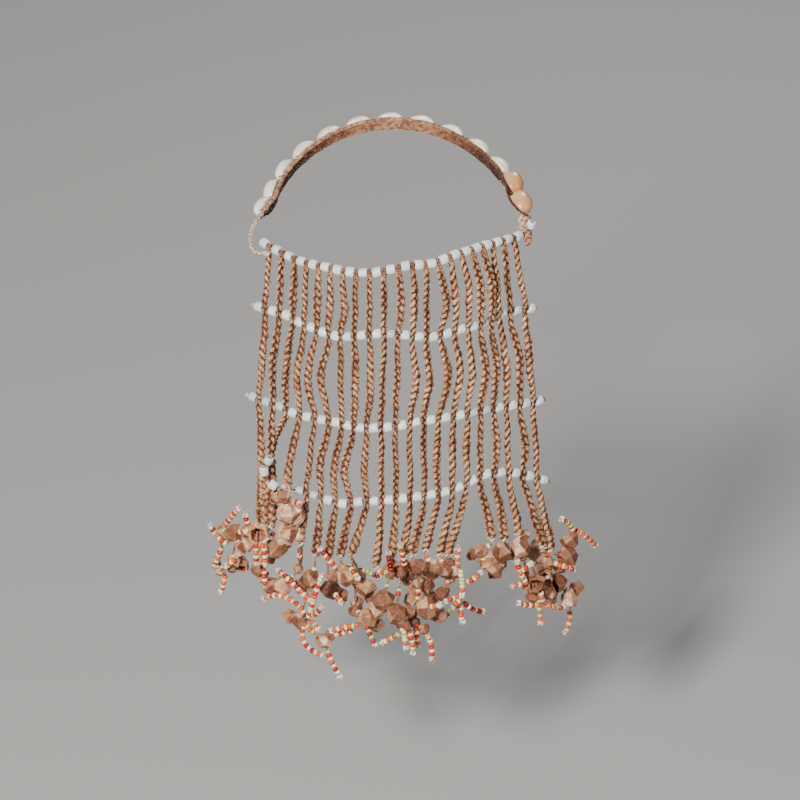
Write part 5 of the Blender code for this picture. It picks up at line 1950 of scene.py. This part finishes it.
# The beaded strands of each tassel, placed in the same way by their root, middle and tip
Strand = namedtuple("Strand", "root middle tip")
STRAND_ROWS = {
    1: (
        ((-148, 23, 8), (-141, 14, 12), (-133.5, 5.5, 14)),
        ((-125, 24, 14), (-127.5, 17, 18), (-129.5, 11, 20)),
        ((-145, 38, 14), (-153, 32, 16), (-160, 22, 16)),
        ((-150, 41, 14), (-153, 49, 15), (-156.5, 58, 14)),
        ((-147.5, 65, 8), (-149, 73, 9), (-152, 82, 8)),
        ((-138, 51, 20), (-143, 55, 21), (-147, 58, 20)),
        ((-119, 37, 20), (-119.5, 47, 22), (-119, 56, 20)),
        ((-114, 37, 19), (-112, 47, 21), (-112, 57, 20)),
    ),
    2: (((-113.5, 58, 4), (-112.5, 69, 7), (-110.5, 80, 6)),),
    3: (((-87, 1, 20), (-81.5, 2, 24), (-83, 9, 26)),),
    4: (((-82, 55, -8), (-81.5, 46, -10), (-81.5, 37, -10)),),
    5: (
        ((-72, 87, 26), (-87, 72, 24), (-102, 59, 20)),
        ((-77, 97, 30), (-95, 83, 31), (-114.5, 85.5, 28)),
        ((-74, 101, 32), (-68, 80, 34), (-61.5, 63, 28)),
        ((-71, 99, 34), (-66, 96, 37), (-61.5, 89, 38)),
        ((-77, 105, 30), (-77.5, 123, 38), (-60, 134, 44)),
        ((-71, 104, 30), (-68, 108, 34), (-64, 112, 38)),
        ((-58, 129, 36), (-53, 141, 40), (-46, 154, 42)),
    ),
    6: (((-52, 81, 2), (-48, 85, 5), (-44.5, 91, 6)),),
    7: (
        ((-50, 58, 16), (-57.5, 49, 18), (-65, 40, 18)),
        ((-38, 58, 23), (-34, 62, 27), (-30, 68, 28)),
    ),
    8: (
        ((-31, 60, -6), (-20, 63, -9), (-11, 68, -8)),
        ((-30, 107, 28), (-44, 109.5, 32), (-56, 112.5, 32)),
        ((-36, 112, 26), (-45, 114.5, 28), (-53, 115.5, 28)),
        ((-24, 108, 28), (-20, 117, 34), (-15, 126, 36)),
    ),
    9: (((-2.5, 60, 14), (-4, 52, 14), (-5.5, 43, 13)),),
    10: (
        ((8.5, 55, 9), (7, 45, 14), (4.5, 36.5, 15)), ((7, 108, 46), (9, 118, 49), (10, 128, 50)),
        ((12, 110, 43), (15.5, 122, 46), (15.5, 133, 48)),
        ((5, 114, 40), (-4, 119, 41), (-12, 123, 40)),
    ),
    12: (
        ((27, 113, 36), (32, 125, 40), (32, 139, 42)),
        ((19, 109, 30), (19.5, 117, 33), (21, 127, 34)),
    ),
    13: (((31, 91, 40), (36, 90, 44), (42, 89, 46)),),
    14: (
        ((55.5, 56, 17), (54.5, 48, 19), (55, 39.5, 19)),
        ((57, 59, 18), (58.5, 71, 22), (59, 84, 24)), ((62, 70, 20), (69, 67, 23), (76, 60, 23)),
        ((58, 82, 24), (51, 84, 27), (43, 88, 28)), ((57, 85, 25), (54, 88, 30), (50, 94, 32)),
        ((58, 88, 23), (57.5, 97, 25), (59.5, 106, 24)), ((60, 88, 20), (68, 94, 16), (78, 97, 10)),
        ((56, 88, 20), (47, 97, 17), (38, 105, 14)),
    ),
    17: (
        ((115, 72, 26), (109, 62, 27), (105.5, 50, 24)),
        ((110, 61, 27), (115, 57, 29), (120, 54, 28)),
        ((113, 72, 22), (107, 73, 22), (100.5, 75, 20)),
        ((124, 91, 20), (115, 91, 22), (106.5, 89, 22)),
        ((125, 86, 20), (126.5, 98, 24), (127, 109, 24)),
        ((127, 79, 28), (133, 91, 30), (149, 93, 29)),
    ),
    18: (
        ((139, 55, 10), (148, 58, 17), (157.5, 61, 17)),
        ((156, 27, 10), (151, 20, 14), (144, 16, 16)),
        ((158, 26, 10), (167, 32, 13), (176, 41, 12)),
        ((153.5, 97, 10), (152.5, 108, 14), (148.5, 119, 16)),
    ),
}
STRANDS = {tassel: [Strand(*places) for places in rows] for tassel, rows in STRAND_ROWS.items()}

# The cords that each tassel ends, by number
TASSEL_CORDS = (
    (1, 2), (3,), (4,), (5,), (6,), (7,), (8,), (9,), (10,),
    (11,), (12,), (13,), (14,), (15, 16), (17,), (18,), (19,), (20, 21),
)

print("beaded strands:", sum(len(strands) for strands in STRANDS.values()))

# %% Break a nut shell
NUT_FULLNESS = 1.15
NUT_SMALL = 8.5
NUT_TURN = 0.22
NUT_UNEVEN = 0.2
NUT_BUMPS = 0.09
NUT_BEVEL = 0.15
NUT_SHARP = 0.25
NUT_BIG_FACE = 0.26
NUT_UNDERSIDE_PAINTED_SHADE = 0.36
CLOSED_NUT_FRONT = -0.7

# The shell's wall as shares of half its width: up the outside, over the rim and down the inside,
# and how much of the rim's rise and fall each level takes
NUT_OUTSIDE = ((0.40, -0.86), (0.99, -0.10), (0.84, 0.62))
NUT_INSIDE = ((0.68, 0.60), (0.70, 0.0), (0.34, -0.45))
NUT_RIM = (0.0, 0.0, 1.0, 1.0, 0.4, 0.0)

# The tones that shells are picked from, and what the facets add. Those at the left are paler.
NUT_TONES = (0.38, 0.45, 0.5, 0.56, 0.64, 0.76)
FACET_TONES = (-0.3, 0.28)
LEFT_TASSELS = 3
LEFT_PALER = 0.1

# The nuts whose mouths face forward, and the dark tones of painted shade for the ones that lie in
# deep shade
OPEN_NUTS = {
    (-133.5, 55), (-117.5, 27), (-93, 25), (86, 60),
    (123, 71), (132, 66), (143, 73), (152, 50), (153, 86),
}
PAINTED_SHADE_NUTS = {
    (-55, 78): 0.12, (5, 61): 0.3, (14, 63): 0.10, (18, 105): 0.05, (29, 74): 0.14, (41, 80): 0.3,
}
SHADED_TONE = 0.35

# The smaller shell behind each large one: from which width, how far off and how large
COMPANION_FROM = 9.0
COMPANION_AWAY = 0.6
COMPANION_BEHIND = 0.45
COMPANION_SIZES = (0.7, 0.92)


def nut_wall(shape, half, sides, chance):
    """The uneven rings of a nut's wall, joined and closed."""
    turns = [TURN * (i + chance.uniform(-NUT_TURN, NUT_TURN)) / sides for i in range(sides)]
    swell = [1.0 + chance.uniform(-NUT_UNEVEN, NUT_UNEVEN) for _ in range(sides)]
    lifts = [chance.uniform(-0.25, 0.2) for _ in range(sides)]
    rings = []
    for level, (reach, height) in enumerate(NUT_OUTSIDE + NUT_INSIDE):
        bumpy = level < len(NUT_OUTSIDE)
        ring = []
        for i in range(sides):
            uneven = swell[i] + (chance.uniform(-NUT_BUMPS, NUT_BUMPS) if bumpy else 0.0)
            radius = reach * uneven * half
            rise = (height + lifts[i] * NUT_RIM[level] + chance.uniform(-0.07, 0.07)) * half
            place = (radius * math.cos(turns[i]), radius * math.sin(turns[i]), rise)
            ring.append(shape.verts.new(place))
        rings.append(ring)
    capped_wall(shape, rings)
    bmesh.ops.recalc_face_normals(shape, faces=shape.faces)


def in_hollow(face, half):
    """Whether a face of a nut's wall is on the inside."""
    middle = face.calc_center_median()
    to_mouth = Vector((middle.x, middle.y, middle.z - half * 0.9))
    inward = face.normal.dot(to_mouth) < 0 and middle.z < half * 0.55
    return inward and middle.xy.length < half * 0.84


def nut_shell(nut, seed):
    """One broken nut shell: flat facets outside, a dark hollow inside and an uneven rim."""
    chance = random.Random(seed)
    half = nut.width / 2 * NUT_FULLNESS
    sides = chance.choice((5, 6, 6, 7)) if nut.width > NUT_SMALL else 5
    shape = bmesh.new()
    facet_tone = shape.faces.layers.float.new("tone")
    nut_wall(shape, half, sides, chance)
    for face in shape.faces:
        face.material_index = 1 if in_hollow(face, half) else 0
    sharp = [edge for edge in shape.edges if edge.calc_face_angle(0.0) > NUT_SHARP]
    bevel = {"offset": NUT_BEVEL, "segments": 1, "profile": 0.5, "clamp_overlap": True}
    bmesh.ops.bevel(shape, geom=sharp, affect="EDGES", **bevel)
    bmesh.ops.recalc_face_normals(shape, faces=shape.faces)

    # Each large facet has a tone of its own, and a middle that isn't worn
    big = [face for face in shape.faces if face.calc_area() > (half * NUT_BIG_FACE) ** 2]
    tone = chance.choice(NUT_TONES) + LEFT_PALER * (nut.tassel <= LEFT_TASSELS)
    # Nuts that lie in deep shade take a dark tone, as painted shade.
    tone = PAINTED_SHADE_NUTS.get((nut.across, nut.below), tone)
    for face in shape.faces:
        varied = face in big and tone > SHADED_TONE
        face[facet_tone] = tone + (chance.uniform(*FACET_TONES) if varied else 0.0)
    centres = set(bmesh.ops.poke(shape, faces=big)["verts"]) if big else set()
    edges = [0.0 if vert in centres else 1.0 for vert in shape.verts]

    # It is turned to face its own way, and painted shade darkens the facets that face down
    forward = nut.mouth_front if (nut.across, nut.below) in OPEN_NUTS else CLOSED_NUT_FRONT
    mouth = Vector((nut.mouth_right, -forward, -nut.mouth_down)).normalized()
    turn = UP.rotation_difference(mouth).to_matrix().to_4x4()
    spun = Matrix.Rotation(chance.uniform(0.0, TURN), 4, "Z")
    place = Matrix.Translation(seen_point((nut.across, nut.below, nut.out)))
    shape.transform(Matrix.Scale(MM, 4) @ place @ turn @ spun)
    shape.normal_update()
    for face in shape.faces:
        face[facet_tone] += NUT_UNDERSIDE_PAINTED_SHADE * min(face.normal.z + 0.2, 0.0)
    piece = new_piece("nut", shape, smooth_faces=False)
    store(piece.data, "edge", "FLOAT", edges)
    piece.data.materials.append(nut_outside)
    piece.data.materials.append(nut_hollow)
    return piece


def with_companions(tassel):
    """The shells of a tassel, with a smaller one half hidden behind each large one."""
    chance = random.Random(60 + tassel)
    crowd = list(NUTS[tassel])
    for nut in NUTS[tassel]:
        if nut.width > COMPANION_FROM:
            angle = chance.uniform(0.0, TURN)
            reach = nut.width * COMPANION_AWAY
            across = nut.across + reach * math.cos(angle)
            below = nut.below + reach * math.sin(angle)
            out = nut.out - nut.width * COMPANION_BEHIND
            width = nut.width * chance.uniform(*COMPANION_SIZES)
            mouth = (chance.uniform(-2.0, 2.0), 1.0, chance.uniform(-0.5, 1.5))
            crowd.append(Nut(tassel, across, below, out, width, *mouth))
    return crowd


# %% Strands, strings and small beads of the tassels
HEAD_HEIGHT = 4.5
HEAD_SHARE = 0.7
STRAND_SHARES = (0.0, 0.2, 0.4, 0.6, 0.8, 1.0)

# Small beads: their size, how far apart they are, and how light and warm ones lie in turn
SEED_RADIUS = 2.6
SEED_HALF = 1.66
SEED_PITCH = 3.3
SEED_ASIDE = 0.3
SEED_TILT = 0.24
SEED_STEP = 0.4
SEED_START = 0.4
SEED_LEFT_BARE = 3.4

# Strings, knots and frayed ends
STRING_GIRTH = 0.95
TIED_FULLNESS = 1.25
STRING_SAG = ((-1.0, 1.0), (-1.5, 0.5), (-1.0, 0.5))
STUB_GIRTH = 1.2
TIP_KNOT = 2.7
TIP_SPRAY = 4.4
PALE_TUFTS = ((-158, 21, 15), (-151, 60, 13))
BEADED_FROM = 9.0

# Tones of the small beads, as places along their ramp of colours
PALE_TONES = (0.02, 0.10, 0.18, 0.20, 0.34, 0.36)
GREENISH_TONES = PALE_TONES[3:6]
WARM_TONES = (0.58, 0.60, 0.62, 0.66, 0.72, 0.76, 0.88)
DARK_TONES = (0.88, 0.92, 0.97, 0.98)
WHITE_TONES = (0.02, 0.18, 0.20, 0.22, 0.46, 0.10)
WHITE_SHARE = 0.75
DARK_SHARE = 0.6

# Strands with their own mood, by the across and below of their root
PALE_STRANDS = {(-74, 101), (7, 108), (27, 113), (57, 59), (58, 88)}
DARK_STRANDS = {(-82, 55), (-31, 60), (60, 88), (56, 88), (-2.5, 60)}


def strand_points(strand):
    """A beaded strand's curve from its root to its tip."""
    root = seen_point(strand.root)
    tip = seen_point(strand.tip)
    bend = seen_point(strand.middle) - root.lerp(tip, 0.5)
    return [root.lerp(tip, share) + bend * 4 * share * (1 - share) for share in STRAND_SHARES]


def seed_tones(mood, warm, chance):
    """The tones that one small bead is picked from."""
    if mood == "pale":
        return WHITE_TONES if chance.random() < WHITE_SHARE else WARM_TONES
    if mood == "dark":
        return DARK_TONES if chance.random() < DARK_SHARE else GREENISH_TONES
    return WARM_TONES if warm else PALE_TONES


def seed_spots(points, chance, mood, first, last):
    """Flat round beads threaded along a curve, light and warm ones in turn."""
    places, _, at = even_line([(point, 1.0) for point in points], SEED_STEP)
    last = min(last, at[-1])
    spots = []
    reach = first + SEED_HALF
    turn = chance.randint(0, 1)
    while reach < last:
        i = min(int(reach / at[-1] * (len(at) - 1)), len(at) - 2)
        along = Vector(places[i + 1] - places[i]).normalized()
        tilt = Vector([chance.uniform(-SEED_TILT, SEED_TILT) for _ in range(3)])
        warm = (len(spots) + turn) % 2 == 0
        tones = seed_tones(mood, warm, chance)
        radius = SEED_RADIUS * (1.0 + chance.uniform(-0.08, 0.07))
        half = SEED_HALF * (1.0 + chance.uniform(-0.12, 0.1))
        place = Vector(places[i])
        if abs(along.z) < 0.95:
            place = place + along.cross(UP).normalized() * (SEED_ASIDE if warm else -SEED_ASIDE)
        leaning = (along + tilt).normalized()
        spots.append(Spot(place, leaning, radius, half, 0.0, chance.choice(tones)))
        reach += SEED_PITCH * (half / SEED_HALF)
    return spots


def hanging(tassel):
    """Everything in a tassel but its shells: strings, knots, frayed ends and small beads."""
    chance = random.Random(40 + tassel)
    strings = []
    knots = []
    sprays = []
    seeds = []
    anchors = []
    for cord in TASSEL_CORDS[tassel - 1]:
        top = cord_end(cord) - UP * GAP
        middle = top.lerp(top - UP * HEAD_HEIGHT, HEAD_SHARE)
        knots.append(Spot(top + UP * 1.0, UP, 3.3, 3.2, chance.uniform(0.0, TURN)))
        for _ in range(2):
            way = Vector((chance.uniform(-0.6, 0.6), chance.uniform(-0.7, 0.2), -1.0)).normalized()
            long = chance.uniform(5.0, 7.5)
            sprays.append(Spot(top, way, 3.2, long, chance.uniform(0.0, TURN)))
        if anchors:
            strings.append([(anchors[-1], STUB_GIRTH), (middle, STUB_GIRTH)])
        anchors.append(middle)

    if tassel == 1:
        for place in PALE_TUFTS:
            way = Vector((-0.5, -0.6, 0.5)).normalized()
            sprays.append(Spot(seen_point(place), way, 5.5, 5.0, 0.9))

    def tie(place, beads):
        """Ties a place to its nearest neighbour, with a few beads on the string."""
        nearest = min(anchors, key=lambda anchor: (anchor - place).length)
        sag = Vector([chance.uniform(*limits) for limits in STRING_SAG])
        first = nearest.lerp(place, 0.35) + sag
        bent = [nearest, first, nearest.lerp(place, 0.7) + sag * 0.7, place]
        strings.append([(point, STRING_GIRTH * TIED_FULLNESS) for point in bent])
        length = (place - nearest).length
        if beads and length > BEADED_FROM:
            middle = length * 0.5
            reach = SEED_PITCH * min(chance.randint(1, 3), int(length / 4.0))
            seeds.extend(seed_spots(bent, chance, "", middle - reach / 2, middle + reach / 2))

    for nut in NUTS[tassel]:
        place = seen_point((nut.across, nut.below, nut.out))
        if (nut.across, nut.below) in OPEN_NUTS:
            place.y += nut.width * 0.4
        tie(place, True)
        anchors.append(place)
    for strand in STRANDS.get(tassel, ()):
        points = strand_points(strand)
        tie(points[0], False)
        key = strand.root[:2]
        mood = "pale" if key in PALE_STRANDS else "dark" if key in DARK_STRANDS else ""
        strings.append([(point, STRING_GIRTH) for point in points])
        length = sum((b - a).length for a, b in zip(points, points[1:]))
        seeds.extend(seed_spots(points, chance, mood, SEED_START, length - SEED_LEFT_BARE))
        along = (points[-1] - points[-2]).normalized()
        knotted = points[-1] - along * 2.2
        knots.append(Spot(knotted, along, TIP_KNOT, TIP_KNOT, chance.uniform(0.0, TURN)))
        tuft = TIP_SPRAY * chance.uniform(0.7, 1.15)
        frayed_from = points[-1] - along * 1.6
        sprays.append(Spot(frayed_from, along, tuft, tuft, chance.uniform(0.0, TURN)))
        anchors += [points[2], points[-2]]
    return strings, knots, sprays, seeds


for tassel in range(1, len(TASSEL_CORDS) + 1):
    name = f"tassel_{tassel:02d}"
    shells = [nut_shell(nut, tassel * 100 + i) for i, nut in enumerate(with_companions(tassel))]
    finish_piece(merged(name + "_shells", shells), [name])
    strings, knots, sprays, seeds = hanging(tassel)
    parts = [
        twisted(name + "_strings", [twine_line(route) for route in strings], twine),
        scattered(name + "_knots", knots, knot, thong_hide),
        scattered(name + "_tufts", sprays, spray, frayed),
    ]
    finish_piece(merged(name + "_strings", parts), [name])
    if seeds:
        beads = scattered(name + "_seeds", seeds, round_bead, seed_glass)
        finish_piece(beads, [name])
print("tassels made, pieces so far:", len(finished))

# %% [markdown]
# ## Finish
#
# The template shapes are taken away, because only their copies belong to the apron. The
# finished apron has to stay close to the box of its solids.

# %% Remove the templates and finish
for template in (tubular_bead, round_bead, hair, spray, knot):
    bpy.data.objects.remove(template)
total = sum(triangles(piece) for piece in finished)
print("finished pieces:", len(finished), "with", total, "triangles")
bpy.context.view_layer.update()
